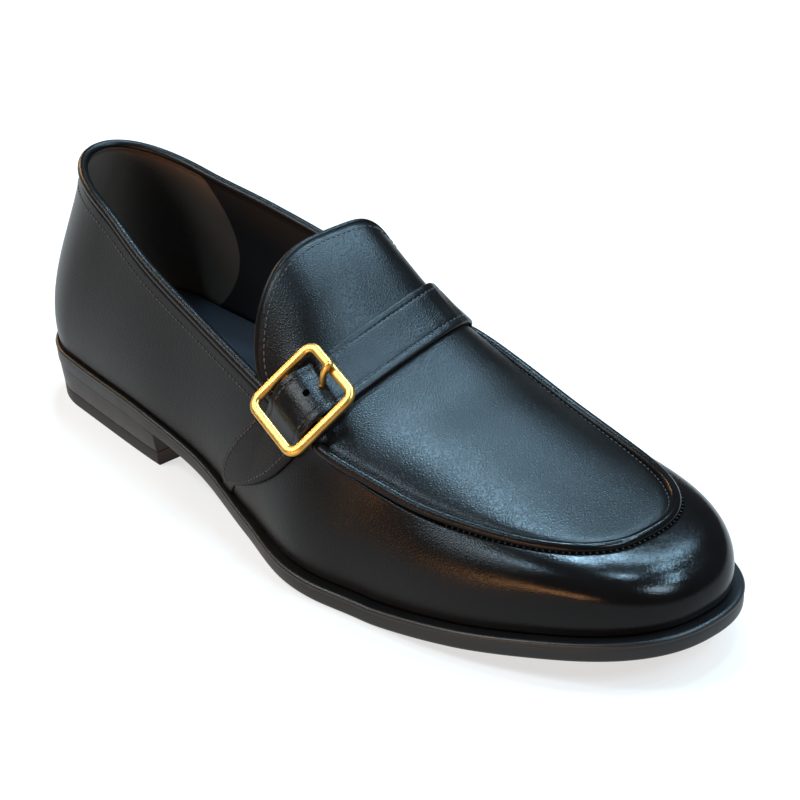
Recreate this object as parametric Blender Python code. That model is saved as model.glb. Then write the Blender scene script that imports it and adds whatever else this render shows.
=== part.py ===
"""Buckle loafer, right shoe: a slip-on with a raised apron seam, a strap and a square buckle.

Lengths are in millimetres until a mesh is made. In the last's own frame x runs from the heel's
back to the toe, y to the inner (medial) side and z up from the floor. The finished pieces are
moved so that the origin is on the floor, in the middle of the shoe's box.
"""
import math

import bmesh
import bpy
import numpy as np
from mathutils import Matrix, Vector

MM = 0.001
GAP = 0.3                   # between pieces that meet
SIDES = ("lateral", "medial")
SIGN = {"lateral": -1.0, "medial": 1.0}

# The feather line, where the upper meets the sole: half widths, the sole's reach beyond it and
# the height of the tread. Below zero the tread is flat on the floor.
SOLE_COLUMNS = ("x", "lateral", "medial", "welt", "tread_z")
SOLE_TABLE = (
    (0, 28.0, 29.0, 1.3, 15.2),
    (40, 32.0, 30.0, 1.3, 13.6),
    (80, 35.5, 30.0, 1.4, 12.8),
    (115, 37.2, 29.5, 1.7, 8.0),
    (150, 44.0, 32.0, 2.6, 2.9),
    (180, 50.0, 37.2, 3.5, 0.6),
    (208, 46.6, 41.6, 3.7, -0.2),
    (240, 42.3, 39.8, 3.6, 3.1),
    (270, 38.3, 39.3, 3.5, 7.2),
    (300, 37.5, 37.8, 3.5, 11.0),
)
FEATHER_BACK = 2.0
FEATHER_TIP = 297.0
HEEL_ROUND = 30.0           # the heel's round end starts behind this x
TOE_ROUND = 225.0           # the toe's round end starts ahead of this x
HEEL_SQUARE = 2.2           # exponents of the round ends: 2 is an ellipse
TOE_SQUARE = 2.33
FLARE_FROM = 205.0          # ahead of this x the toe bends to the inner side
FLARE = 4.3

# The topline around the foot's opening, from the heel to the throat's corners.
COLLAR_COLUMNS = ("x", "lateral", "medial", "lateral_z", "medial_z")
COLLAR_TABLE = (
    (16, 18.5, 18.0, 88.0, 88.0),
    (48, 22.4, 20.3, 82.0, 80.9),
    (80, 27.9, 26.2, 71.6, 74.3),
    (115, 32.2, 30.6, 62.8, 66.7),
    (160, 37.4, 33.8, 53.0, 52.6),
)
COLLAR_BACK = 16.0
COLLAR_ROUND = 50.0
COLLAR_SQUARE = 2.1

# The apron, which is the raised seam's loop, and the crowned plug and tongue inside it.
APRON_COLUMNS = ("x", "lateral", "medial", "ridge_z", "seam_z")
APRON_TABLE = (
    (138, 38.0, 34.0, 89.0, 60.0),
    (152, 36.7, 33.0, 81.0, 54.3),
    (170, 39.0, 35.5, 65.0, 51.0),
    (190, 42.5, 37.7, 54.0, 45.0),
    (215, 39.2, 37.6, 47.0, 38.8),
    (245, 33.2, 35.3, 39.9, 34.8),
    (278, 31.3, 34.4, 34.9, 32.0),
)
CORNER_X = {"lateral": 159.0, "medial": 151.0}    # the throat's corners, where collar, tongue and apron meet
FEATHER_CORNER = 152.0      # the feather line's x below those corners
APRON_TIP = 278.0
APRON_ROUND = 220.0
APRON_SQUARE = 2.55
TONGUE_X = 139.0            # the tongue's top edge on the ridge
TONGUE_SQUARE = 3.2
TONGUE_FADE = 0.3           # share of the apron in which ribs straighten from the tongue's edge
SPINE_FRONT = 252.0         # the plug's ribs meet the ridge up to here
SPINE_POWER = 0.8
INSTEP_SHIFT = 7.0          # the instep's ridge leans to the inner side
INSTEP_FROM = 215.0
INSTEP_FULL = 152.0
INSTEP_LIMIT = 1.2          # the lean goes on this far behind its full place
CROWN_POWER = 3.5
BEHIND = 100.0              # millimetres that a unit of v spans behind the tongue's edge

# The side wall's curve between the feather line and the top: a bulge and a rise at its foot, and
# a reach outwards and a drop at its top, as shares of the way up and in.
WALL_COLUMNS = ("x", "swell", "rise", "reach", "drop")
WALL_TABLE = (
    (0, 3.5, 0.36, 0.35, 0.35),
    (60, 2.5, 0.34, 0.28, 0.34),
    (115, 2.5, 0.34, 0.25, 0.34),
    (152, 3.0, 0.38, 0.30, 0.30),
    (200, 3.5, 0.45, 0.45, 0.28),
    (250, 3.5, 0.60, 0.50, 0.15),
    (300, 3.0, 0.75, 0.55, 0.10),
)

# The upper's wall and how it is divided.
WALL = 2.0
REAR_STEPS = 18
FRONT_STEPS = 30
RIB_SAMPLES = 60
SHARP_ANGLE = 40.0          # degrees: sharper edges are shaded sharp
WALL_ROWS = (0.0, 0.1, 0.24, 0.4, 0.56, 0.72, 0.87, 1.0)
PLUG_ROWS = (0.16, 0.33, 0.5, 0.67, 0.84, 1.0)
PLUG_SPREAD = 1.6           # the plug's samples crowd towards the seam
# Rows beside the seam or topline: distance across it, height of the seam's ridge, of the collar's roll.
SEAM_ROWS = ((-4.0, 0.0, 0.0), (-2.4, 0.15, 0.35), (-1.2, 1.3, 0.7), (0.0, 1.7, 0.35),
             (1.2, 1.0, 0.0), (2.4, -0.35, 0.0), (4.0, 0.0, 0.0))
SEAM_FADE = (0.16, 0.20)    # the ridge rises between these shares of the apron, ahead of the strap
ROLL_FADE = (-0.14, -0.06)  # the collar's roll ends between these, behind the strap

# The sole's edge from the tread to its top: out from the welt line, and up from tread or top.
SOLE_THICK = 6.3
SOLE_STEPS = 40
SOLE_EDGE = (
    (-1.2, "tread", 0.0),
    (0.0, "tread", 1.0),
    (0.0, "top", -2.9),
    (-0.6, "top", -2.4),
    (0.2, "top", -1.8),
    (0.3, "top", -0.9),
    (-0.6, "top", 0.0),
)
INSOLE_THICK = 2.5
INSOLE_INSET = 2.5
INSOLE_CHAMFER = 0.8

# The heel: a stack under the sole and a rubber top piece on the floor.
BREAST_X = 87.0
TOP_PIECE = 5.0
STACK_INSET = 0.3
STACK_TAPER = 1.0
TOP_PIECE_CHAMFER = 0.6

# The strap lies between two planes across the instep.
STRAP_NORMAL = np.array((0.790, 0.174, -0.588))
STRAP_PLANE = 99.1
STRAP_WIDTH = 17.7
STRAP_THICK = 1.7
STRAP_GAP = 0.8             # wider than the usual gap, because the leather turns sharply at the seam
STRAP_EDGE = 0.9            # its edges are rounded over this width
STRAP_EDGE_DROP = 0.8
STRAP_PLUG_ROWS = (0.0, 0.04, 0.09, 0.16, 0.26, 0.4, 0.55, 0.7, 0.85, 1.0)
STRAP_LATERAL_ROWS = (0.76, 0.80, 0.84, 0.88, 0.92, 0.96)
STRAP_MEDIAL_ROWS = (0.96, 0.9, 0.83, 0.76, 0.70)
STRAP_END_SLANT = 0.010     # the inner end's slant, in share of the wall's height a millimetre
WALL_REACH = (-0.4, 0.6)    # where along the upper strap and tab are looked for
PLUG_REACH = (-0.12, 0.6)
HALVINGS = 40
FOOT_MIDDLE = 20.0          # a height inside the foot

# The buckle, in a frame of its own: along the strap, across it and off the leather.
BUCKLE_HEIGHT = 53.9        # the height of the leather below its middle
BUCKLE_SIZE = 29.0
BUCKLE_BAR = 3.2
BUCKLE_THICK = 2.6
BUCKLE_CORNER = 5.0
BUCKLE_OFF = 4.0            # the frame's middle plane, off the leather
CORNER_STEPS = 5
SECTION_STEPS = 10
CENTRE_BAR = 2.4
CENTRE_BAR_OFF = 2.3
STRAP_LIFT = 3.6            # how far the strap rises over the centre bar
LIFT_UPPER = (-13.0, -6.0)  # the rise starts and ends here, along the strap
LIFT_LOWER = (3.0, 9.5)
PRONG_RADIUS = 1.1
PRONG_ROUTE = ((-1.9, 1.3), (-5.0, 1.2), (-7.6, 2.6), (-10.2, 5.5), (-12.2, 6.6), (-14.6, 6.6))
PRONG_SLOT = (-11.2, -5.4)
PRONG_SLOT_WIDTH = 3.4

# The stitched tab below the buckle, with a round end.
TAB_WIDTH = 20.0
TAB_SHIFT = -1.9            # its middle lies a little behind the strap's
TAB_THICK = 1.5
TAB_ROWS = (0.735, 0.69, 0.64, 0.58, 0.51, 0.44, 0.37, 0.3, 0.24, 0.18, 0.13, 0.105)
TAB_ROUND = 0.55            # the round end starts at this share of the wall's height
TAB_DRIFT = 6.4             # it runs back towards the heel on its way down
TAB_SQUARE = 1.7
TAB_MIN_SHARE = 0.12
TAB_DRIFT_POWER = 1.5
TAB_COLUMNS = (-1.0, -0.9, -0.5, 0.0, 0.5, 0.9, 1.0)

# Colour, roughness and metallic value of each finish.
FINISHES = {
    "black_calf": ((0.012, 0.012, 0.014), 0.38, 0.0),
    "sole_edge": ((0.020, 0.020, 0.022), 0.45, 0.0),
    "heel_rubber": ((0.010, 0.010, 0.011), 0.60, 0.0),
    "sock_leather": ((0.012, 0.014, 0.022), 0.55, 0.0),
    "gold_brass": ((0.80, 0.56, 0.20), 0.18, 1.0),
}


def follow(table, columns, name, x):
    """A smooth curve through one column of a table, read at x."""
    rows = np.array(table, float)
    xs = rows[:, 0]
    ys = rows[:, columns.index(name)]
    x = np.clip(np.asarray(x, float), xs[0], xs[-1])
    step = np.diff(xs)
    slope = np.diff(ys) / step
    tangent = np.empty_like(ys)
    tangent[1:-1] = (slope[:-1] * step[1:] + slope[1:] * step[:-1]) / (step[:-1] + step[1:])
    tangent[0] = 1.5 * slope[0] - 0.5 * tangent[1]
    tangent[-1] = 1.5 * slope[-1] - 0.5 * tangent[-2]
    i = np.clip(np.searchsorted(xs, x, side="right") - 1, 0, len(xs) - 2)
    t = (x - xs[i]) / step[i]
    start = (1 + 2 * t) * (1 - t) ** 2 * ys[i] + t * (1 - t) ** 2 * step[i] * tangent[i]
    end = t * t * (3 - 2 * t) * ys[i + 1] + t * t * (t - 1) * step[i] * tangent[i + 1]
    return start + end


def ease(start, end, value):
    """0 up to start, 1 from end on, and smooth between them."""
    t = np.clip((value - start) / (end - start), 0.0, 1.0)
    return t * t * (3 - 2 * t)


def rounding(share, power):
    """A round end: 1 where share is 0 and 0 where it is 1."""
    return np.maximum(0.0, 1 - np.clip(share, 0.0, 1.0) ** power) ** (1 / power)


def unit(vectors):
    return vectors / np.linalg.norm(vectors, axis=-1, keepdims=True)


# The last's surface
def centre_y(x):
    bend = np.clip((np.asarray(x, float) - FLARE_FROM) / (FEATHER_TIP - FLARE_FROM), 0.0, 1.0)
    return FLARE * bend ** 2


def feather_y(side, x):
    half = follow(SOLE_TABLE, SOLE_COLUMNS, side, x)
    half = half * rounding((HEEL_ROUND - x) / (HEEL_ROUND - FEATHER_BACK), HEEL_SQUARE)
    half = half * rounding((x - TOE_ROUND) / (FEATHER_TIP - TOE_ROUND), TOE_SQUARE)
    return centre_y(x) + SIGN[side] * half


def tread_z(x):
    return np.maximum(0.0, follow(SOLE_TABLE, SOLE_COLUMNS, "tread_z", x))


def apron_half(side, x):
    half = follow(APRON_TABLE, APRON_COLUMNS, side, x)
    return half * rounding((x - APRON_ROUND) / (APRON_TIP - APRON_ROUND), APRON_SQUARE)


def ridge_y(x):
    lean = np.clip((INSTEP_FROM - np.asarray(x, float)) / (INSTEP_FROM - INSTEP_FULL), 0.0, INSTEP_LIMIT)
    return centre_y(x) + INSTEP_SHIFT * lean


def plug_z(x, y):
    """The crowned top of plug and tongue."""
    ridge = ridge_y(x)
    shift = ridge - centre_y(x)
    lateral = follow(APRON_TABLE, APRON_COLUMNS, "lateral", x) + shift
    medial = follow(APRON_TABLE, APRON_COLUMNS, "medial", x) - shift
    half = np.where(y < ridge, lateral, medial)
    top = follow(APRON_TABLE, APRON_COLUMNS, "ridge_z", x)
    seam = follow(APRON_TABLE, APRON_COLUMNS, "seam_z", x)
    return top - (top - seam) * np.abs((y - ridge) / half) ** CROWN_POWER


def quarter_sine(v):
    return math.sin(min(abs(v), 1.0) * math.pi / 2)


def feather_plan(side, v):
    """The feather line in plan; v runs from -1 at the heel over 0 at the throat to 1 at the toe."""
    reach = FEATHER_TIP - FEATHER_CORNER if v > 0 else FEATHER_BACK - FEATHER_CORNER
    x = FEATHER_CORNER + reach * quarter_sine(v)
    return np.array((x, float(feather_y(side, x))))


def feather_point(side, v):
    """The upper's foot and the outward direction there."""
    small = 0.001
    place = feather_plan(side, v)
    along = feather_plan(side, min(v + small, 1.0)) - feather_plan(side, max(v - small, -1.0))
    if abs(v) > 1 - small:
        outward = np.array((math.copysign(1.0, v), 0.0, 0.0))
    else:
        outward = unit(np.array((-along[1], along[0], 0.0)) * SIGN[side])
    height = float(tread_z(place[0])) + SOLE_THICK + GAP
    return np.array((place[0], place[1], height)), outward


def top_point(side, v):
    """A point of the topline behind the throat, or of the apron seam ahead of it."""
    if v < 0:
        x = CORNER_X[side] - (CORNER_X[side] - COLLAR_BACK) * quarter_sine(v)
        half = follow(COLLAR_TABLE, COLLAR_COLUMNS, side, x)
        half = half * rounding((COLLAR_ROUND - x) / (COLLAR_ROUND - COLLAR_BACK), COLLAR_SQUARE)
        height = follow(COLLAR_TABLE, COLLAR_COLUMNS, side + "_z", x)
        return np.array((x, SIGN[side] * float(half), float(height)))
    x = CORNER_X[side] + (APRON_TIP - CORNER_X[side]) * quarter_sine(v)
    y = float(centre_y(x) + SIGN[side] * apron_half(side, x))
    return np.array((x, y, float(plug_z(x, y))))


def wall_points(side, v, t):
    """The side wall's curve at v, read at the shares t of its way up."""
    foot, outward = feather_point(side, v)
    top = top_point(side, v)
    swell, rise, reach, drop = (float(follow(WALL_TABLE, WALL_COLUMNS, name, foot[0]))
                                for name in WALL_COLUMNS[1:])
    height = top[2] - foot[2]
    inset = math.hypot(top[0] - foot[0], top[1] - foot[1])
    low = foot + outward * swell + np.array((0.0, 0.0, rise * height))
    high = top + outward * (reach * inset) - np.array((0.0, 0.0, drop * height))
    t = np.asarray(t, float)[:, None]
    return (1 - t) ** 3 * foot + 3 * (1 - t) ** 2 * t * low + 3 * (1 - t) * t ** 2 * high + t ** 3 * top


def plug_points(side, v, r):
    """A rib of the plug at v, from the seam (r = 0) to the ridge (r = 1).

    Below zero v goes on behind the tongue's edge, for the strap that reaches over the throat's corner.
    """
    seam = top_point(side, max(v, 0.0))
    ridge_x = TONGUE_X + (SPINE_FRONT - TONGUE_X) * quarter_sine(max(v, 0.0)) ** SPINE_POWER
    ridge = float(ridge_y(ridge_x))
    square = TONGUE_SQUARE + (1 - TONGUE_SQUARE) * float(ease(0.0, TONGUE_FADE, v))
    left = 1 - np.asarray(r, float)
    x = ridge_x + (seam[0] - ridge_x) * (1 - rounding(left, square)) + min(v, 0.0) * BEHIND
    y = ridge + (seam[1] - ridge) * left
    return np.column_stack((x, y, plug_z(x, y)))


def at_lengths(points, lengths):
    """Points of a polyline at the given lengths along it."""
    steps = np.linalg.norm(np.diff(points, axis=0), axis=1)
    run = np.concatenate(((0.0,), np.cumsum(steps)))
    return np.column_stack([np.interp(lengths, run, points[:, k]) for k in range(3)])


def length_of(points):
    return float(np.linalg.norm(np.diff(points, axis=0), axis=1).sum())


# Meshes and materials
def finish(name):
    """The Principled material of one finish."""
    material = bpy.data.materials.get(name)
    if material is None:
        colour, roughness, metallic = FINISHES[name]
        material = bpy.data.materials.new(name)
        material.use_nodes = True
        shader = material.node_tree.nodes["Principled BSDF"]
        shader.inputs["Base Color"].default_value = (*colour, 1.0)
        shader.inputs["Roughness"].default_value = roughness
        shader.inputs["Metallic"].default_value = metallic
    return material


def add_piece(name, points, faces, material):
    """A named object from points in millimetres, with its normals turned outwards."""
    mesh = bpy.data.meshes.new(name)
    mesh.from_pydata([tuple(float(c) * MM for c in p) for p in points], [], faces)
    shape = bmesh.new()
    shape.from_mesh(mesh)
    bmesh.ops.recalc_face_normals(shape, faces=shape.faces)
    shape.to_mesh(mesh)
    shape.free()
    mesh.shade_smooth()
    mesh.set_sharp_from_angle(angle=math.radians(SHARP_ANGLE))
    piece = bpy.data.objects.new(name, mesh)
    piece.data.materials.append(finish(material))
    bpy.context.collection.objects.link(piece)
    return piece


def ladder_faces(ring, flip):
    """Rungs across a ring whose points pair up, side to side, from its first point on."""
    count = len(ring)
    faces = [(ring[0], ring[1], ring[-1])]
    k = 1
    while k + 1 < count - k - 1:
        faces.append((ring[k], ring[k + 1], ring[count - k - 1], ring[count - k]))
        k += 1
    if k + 1 == count - k - 1:
        faces.append((ring[k], ring[k + 1], ring[count - k]))
    return [face[::-1] for face in faces] if flip else faces


def stacked_rings(name, rings, material):
    """A solid from rings of equal count, closed below and above by rungs."""
    count = len(rings[0])
    points = [p for ring in rings for p in ring]
    faces = ladder_faces(list(range(count)), True)
    for level in range(len(rings) - 1):
        low = level * count
        for k in range(count):
            after = (k + 1) % count
            faces.append((low + k, low + after, low + count + after, low + count + k))
    last = (len(rings) - 1) * count
    faces += ladder_faces(list(range(last, last + count)), False)
    return add_piece(name, points, faces, material)


def thick_patch(name, grid, outward, low, high, material):
    """A closed slab over a grid of surface points, between two heights off the surface."""
    rows, columns = grid.shape[:2]
    points = np.concatenate(((grid + outward * low[..., None]).reshape(-1, 3),
                             (grid + outward * high[..., None]).reshape(-1, 3)))
    half = rows * columns
    faces = []
    for i in range(rows - 1):
        for j in range(columns - 1):
            corner = i * columns + j
            square = (corner, corner + 1, corner + columns + 1, corner + columns)
            faces.append(square)
            faces.append(tuple(half + k for k in reversed(square)))
    rim = [j for j in range(columns)]
    rim += [i * columns + columns - 1 for i in range(1, rows)]
    rim += [(rows - 1) * columns + j for j in range(columns - 2, -1, -1)]
    rim += [i * columns for i in range(rows - 2, 0, -1)]
    for k, here in enumerate(rim):
        after = rim[(k + 1) % len(rim)]
        faces.append((after, here, half + here, half + after))
    return add_piece(name, points, faces, material)


def grid_outward(grid):
    """Unit directions off a grid of surface points, away from the foot."""
    along = np.gradient(grid, axis=0)
    across = np.gradient(grid, axis=1)
    off = unit(np.cross(along, across))
    middle = np.array((grid[..., 0].mean(), 0.0, FOOT_MIDDLE))
    if np.sum(off * (grid - middle)) < 0:
        off = -off
    return off


# The upper: one hollow wall
def upper_column(side, v):
    """Points up one rib: the wall, the rows beside its top edge and, ahead of the throat, the plug."""
    shares = np.linspace(0.0, 1.0, RIB_SAMPLES)
    wall = wall_points(side, v, shares)
    length = length_of(wall)
    margin = -SEAM_ROWS[0][0]
    rows = [share * (length - margin) for share in WALL_ROWS]
    rows += [length + row[0] for row in SEAM_ROWS[1:] if row[0] <= 0]
    column = at_lengths(wall, rows)
    if v < 0:
        return column
    plug = plug_points(side, v, shares ** PLUG_SPREAD)
    rest = length_of(plug) - margin
    rows = [row[0] for row in SEAM_ROWS if row[0] > 0]
    rows += [margin + share * rest for share in PLUG_ROWS]
    return np.vstack((column, at_lengths(plug, rows)))


def upper_sheet():
    """The upper's skin as one sheet; the two halves share heel, toe and ridge.

    Returns points, faces turned outwards, the height of ridge or roll at each point, and the points
    beside the seam as (point, last wall point, first plug point, share of the way between them).
    """
    values = [-1 + k / REAR_STEPS for k in range(REAR_STEPS)]
    values += [k / FRONT_STEPS for k in range(FRONT_STEPS + 1)]
    points = []
    lifts = []
    index = {}
    wall_rows = len(WALL_ROWS) + sum(1 for row in SEAM_ROWS[1:] if row[0] <= 0)
    row_lifts = [SEAM_ROWS[0]] * len(WALL_ROWS) + list(SEAM_ROWS[1:]) + [SEAM_ROWS[0]] * len(PLUG_ROWS)
    low_row = len(WALL_ROWS) - 1
    high_row = low_row + len(SEAM_ROWS) - 1
    bridges = []
    for side in SIDES:
        for i, v in enumerate(values):
            column = upper_column(side, v)
            ridge = float(ease(*SEAM_FADE, v))
            roll = 1 - float(ease(*ROLL_FADE, v))
            for j, point in enumerate(column):
                shared = i in (0, len(values) - 1) or j == len(row_lifts) - 1
                key = ("middle" if shared else side, i, j)
                if key not in index:
                    index[key] = len(points)
                    points.append(point)
                    lifts.append(row_lifts[j][1] * ridge + row_lifts[j][2] * roll)
                index[(side, i, j)] = index[key]
            if v >= 0:
                for j in range(low_row + 1, high_row):
                    share = 0.5 - row_lifts[j][0] / (2 * SEAM_ROWS[0][0])
                    bridges.append((index[(side, i, j)], index[(side, i, low_row)],
                                    index[(side, i, high_row)], share))
    faces = []
    for side in SIDES:
        for i in range(len(values) - 1):
            top = len(row_lifts) if values[i] >= 0 else wall_rows
            for j in range(top - 1):
                face = (index[(side, i, j)], index[(side, i + 1, j)],
                        index[(side, i + 1, j + 1)], index[(side, i, j + 1)])
                faces.append(face if side == "lateral" else face[::-1])
    return np.array(points), faces, np.array(lifts), bridges


def sheet_normals(points, faces):
    """Unit normals at the points of a sheet of four-sided faces."""
    corners = np.array(faces)
    area = np.cross(points[corners[:, 2]] - points[corners[:, 0]], points[corners[:, 3]] - points[corners[:, 1]])
    normals = np.zeros_like(points)
    for k in range(4):
        np.add.at(normals, corners[:, k], area)
    return unit(normals)


def make_upper():
    """The skin with its ridge and roll, a lining one wall further in, and rims that join the two."""
    points, faces, lifts, bridges = upper_sheet()
    normals = sheet_normals(points, faces)
    skin = points + normals * lifts[:, None]
    lining = points - normals * WALL
    for here, low, high, share in bridges:
        lining[here] = lining[low] + share * (lining[high] - lining[low])
    count = len(points)
    solid = faces + [tuple(count + k for k in reversed(face)) for face in faces]
    edges = {(face[k], face[(k + 1) % 4]) for face in faces for k in range(4)}
    for start, end in edges:
        if (end, start) not in edges:
            solid.append((end, start, count + start, count + end))
    return add_piece("upper", np.concatenate((skin, lining)), solid, "black_calf")


# The sole and heel
def outline(stations):
    """Feather points around the foot, heel first and outer side first, with outward directions."""
    lateral = [(x, float(feather_y("lateral", x))) for x in stations]
    medial = [(x, float(feather_y("medial", x))) for x in stations[1:-1]]
    ring = np.array(lateral + medial[::-1])
    along = unit(np.roll(ring, -1, axis=0) - np.roll(ring, 1, axis=0))
    return ring, np.column_stack((along[:, 1], -along[:, 0]))


def sole_stations():
    turn = np.linspace(0.0, math.pi, SOLE_STEPS + 1)
    return FEATHER_BACK + (FEATHER_TIP - FEATHER_BACK) * (1 - np.cos(turn)) / 2


def make_outsole():
    ring, outward = outline(sole_stations())
    welt = follow(SOLE_TABLE, SOLE_COLUMNS, "welt", ring[:, 0])
    tread = tread_z(ring[:, 0])
    rings = []
    for out, level, rise in SOLE_EDGE:
        plan = ring + outward * (welt + out)[:, None]
        height = tread + rise + (SOLE_THICK if level == "top" else 0.0)
        rings.append(np.column_stack((plan, height)))
    return stacked_rings("outsole", rings, "sole_edge")


def make_insole():
    ring, outward = outline(sole_stations())
    floor = tread_z(ring[:, 0]) + SOLE_THICK + GAP
    rings = []
    for inset, rise in ((INSOLE_INSET, 0.0), (INSOLE_INSET, INSOLE_THICK - INSOLE_CHAMFER),
                        (INSOLE_INSET + INSOLE_CHAMFER, INSOLE_THICK)):
        rings.append(np.column_stack((ring - outward * inset, floor + rise)))
    return stacked_rings("insole", rings, "sock_leather")


def heel_ring(inset):
    """The heel's outline in plan: round at the back and straight across the breast."""
    ring, outward = outline(sole_stations())
    welt = follow(SOLE_TABLE, SOLE_COLUMNS, "welt", ring[:, 0])
    edge = ring + outward * (welt - inset)[:, None]
    steps = SOLE_STEPS
    keep = [k for k in range(1, steps) if edge[k, 0] < BREAST_X and edge[-k, 0] < BREAST_X]
    front = keep[-1] + 1
    corners = []
    for here, after in ((keep[-1], front), (-keep[-1], -front)):
        share = (BREAST_X - edge[here, 0]) / (edge[after, 0] - edge[here, 0])
        corners.append(edge[here] + share * (edge[after] - edge[here]))
    lateral = [edge[k] for k in keep] + [corners[0]]
    medial = [edge[-k] for k in keep] + [corners[1]]
    return np.array([edge[0]] + lateral + medial[::-1])


def make_heel():
    top = heel_ring(STACK_INSET)
    foot = heel_ring(STACK_INSET + STACK_TAPER)
    stack = [np.column_stack((foot, np.full(len(foot), TOP_PIECE + GAP))),
             np.column_stack((top, tread_z(top[:, 0]) - GAP))]
    stacked_rings("heel_stack", stack, "sole_edge")
    rings = []
    for inset, height in ((TOP_PIECE_CHAMFER, 0.0), (0.0, TOP_PIECE_CHAMFER), (0.0, TOP_PIECE)):
        plan = heel_ring(STACK_INSET + STACK_TAPER + inset)
        rings.append(np.column_stack((plan, np.full(len(plan), height))))
    stacked_rings("heel_top_piece", rings, "heel_rubber")


# The strap, its buckle and the tab
def on_plane(side, row, plane):
    """The surface point of one row that lies on the strap's plane at this offset."""
    place, share = row
    low, high = WALL_REACH if place == "wall" else PLUG_REACH
    for _ in range(HALVINGS):
        v = (low + high) / 2
        if place == "wall":
            point = wall_points(side, v, (share,))[0]
        else:
            point = plug_points(side, v, (share,))[0]
        if point @ STRAP_NORMAL < plane:
            low = v
        else:
            high = v
    return point


def strap_offsets():
    half = STRAP_WIDTH / 2
    return np.array((-half, -half + STRAP_EDGE, -half / 2, -half / 6, half / 6, half / 2, half - STRAP_EDGE, half))


def strap_grid():
    """Surface points under the strap, from its end below the buckle over the instep."""
    rows = [("lateral", "wall", share) for share in STRAP_LATERAL_ROWS]
    rows += [("lateral", "plug", share) for share in STRAP_PLUG_ROWS]
    rows += [("medial", "plug", share) for share in STRAP_PLUG_ROWS[-2::-1]]
    rows += [("medial", "wall", share) for share in STRAP_MEDIAL_ROWS]
    grid = []
    for side, place, share in rows:
        line = []
        for offset in strap_offsets():
            slant = STRAP_END_SLANT * offset if side == "medial" and place == "wall" else 0.0
            line.append(on_plane(side, (place, share - slant), STRAP_PLANE + offset))
        grid.append(line)
    return np.array(grid)


def buckle_frame_axes(grid):
    """The buckle's middle on the leather, and its axes: along the strap, across it and off it."""
    middle = (grid.shape[1] - 1) // 2
    line = ((grid[:, middle] + grid[:, middle + 1]) / 2)[: len(STRAP_LATERAL_ROWS) + len(STRAP_PLUG_ROWS)]
    run = np.concatenate(((0.0,), np.cumsum(np.linalg.norm(np.diff(line, axis=0), axis=1))))
    here = float(np.interp(BUCKLE_HEIGHT, line[:, 2], run))
    span = (BUCKLE_SIZE - BUCKLE_BAR) / 2
    lower, origin, upper = at_lengths(line, (here - span, here, here + span))
    along = unit(lower - upper)
    under = np.abs(run - here) < span
    chords = (grid[: len(run), -1] - grid[: len(run), 0])[under]
    off = unit(np.cross(along, chords.mean(axis=0)))
    return origin, along, np.cross(off, along), off


def strap_lift(along):
    """How far the strap stands off the leather, by the place along it from the buckle's middle."""
    return STRAP_LIFT * ease(*LIFT_UPPER, along) * (1 - ease(*LIFT_LOWER, along))


def buckle_matrix(origin, along, across, off, height):
    columns = np.eye(4)
    columns[:3, 0] = along
    columns[:3, 1] = across
    columns[:3, 2] = off
    columns[:3, 3] = (origin + off * height) * MM
    return Matrix(columns.tolist())


def make_strap(grid, outward, axes):
    origin, along, across, off = axes
    place = (grid - origin) @ along
    near = np.abs((grid - origin) @ off) < BUCKLE_SIZE / 2
    lift = np.where(near, strap_lift(place), 0.0)
    low = np.full(grid.shape[:2], STRAP_GAP) + lift
    high = low + STRAP_THICK
    high[:, (0, -1)] -= STRAP_EDGE_DROP
    strap = thick_patch("strap", grid, outward, low, high, "black_calf")
    start, end = PRONG_SLOT
    bpy.ops.mesh.primitive_cube_add(size=1.0)
    slot = bpy.context.object
    slot.name = "prong_slot_cutter"
    slot.matrix_world = buckle_matrix(origin + along * (start + end) / 2, along, across, off, BUCKLE_OFF)
    slot.scale = ((end - start) * MM, PRONG_SLOT_WIDTH * MM, BUCKLE_SIZE * MM)
    slot.hide_render = True
    slot.display_type = "WIRE"
    cut = strap.modifiers.new("prong_slot", "BOOLEAN")
    cut.operation = "DIFFERENCE"
    cut.object = slot
    return strap


def rounded_square(half, radius, steps):
    """Corner arcs of a square, as one closed outline."""
    points = []
    for k in range(4):
        start = k * math.pi / 2
        turn = Matrix.Rotation(start, 2)
        middle = turn @ Vector((half - radius, half - radius))
        for s in range(steps + 1):
            angle = start + s / steps * math.pi / 2
            points.append((middle.x + radius * math.cos(angle), middle.y + radius * math.sin(angle)))
    return points


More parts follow.
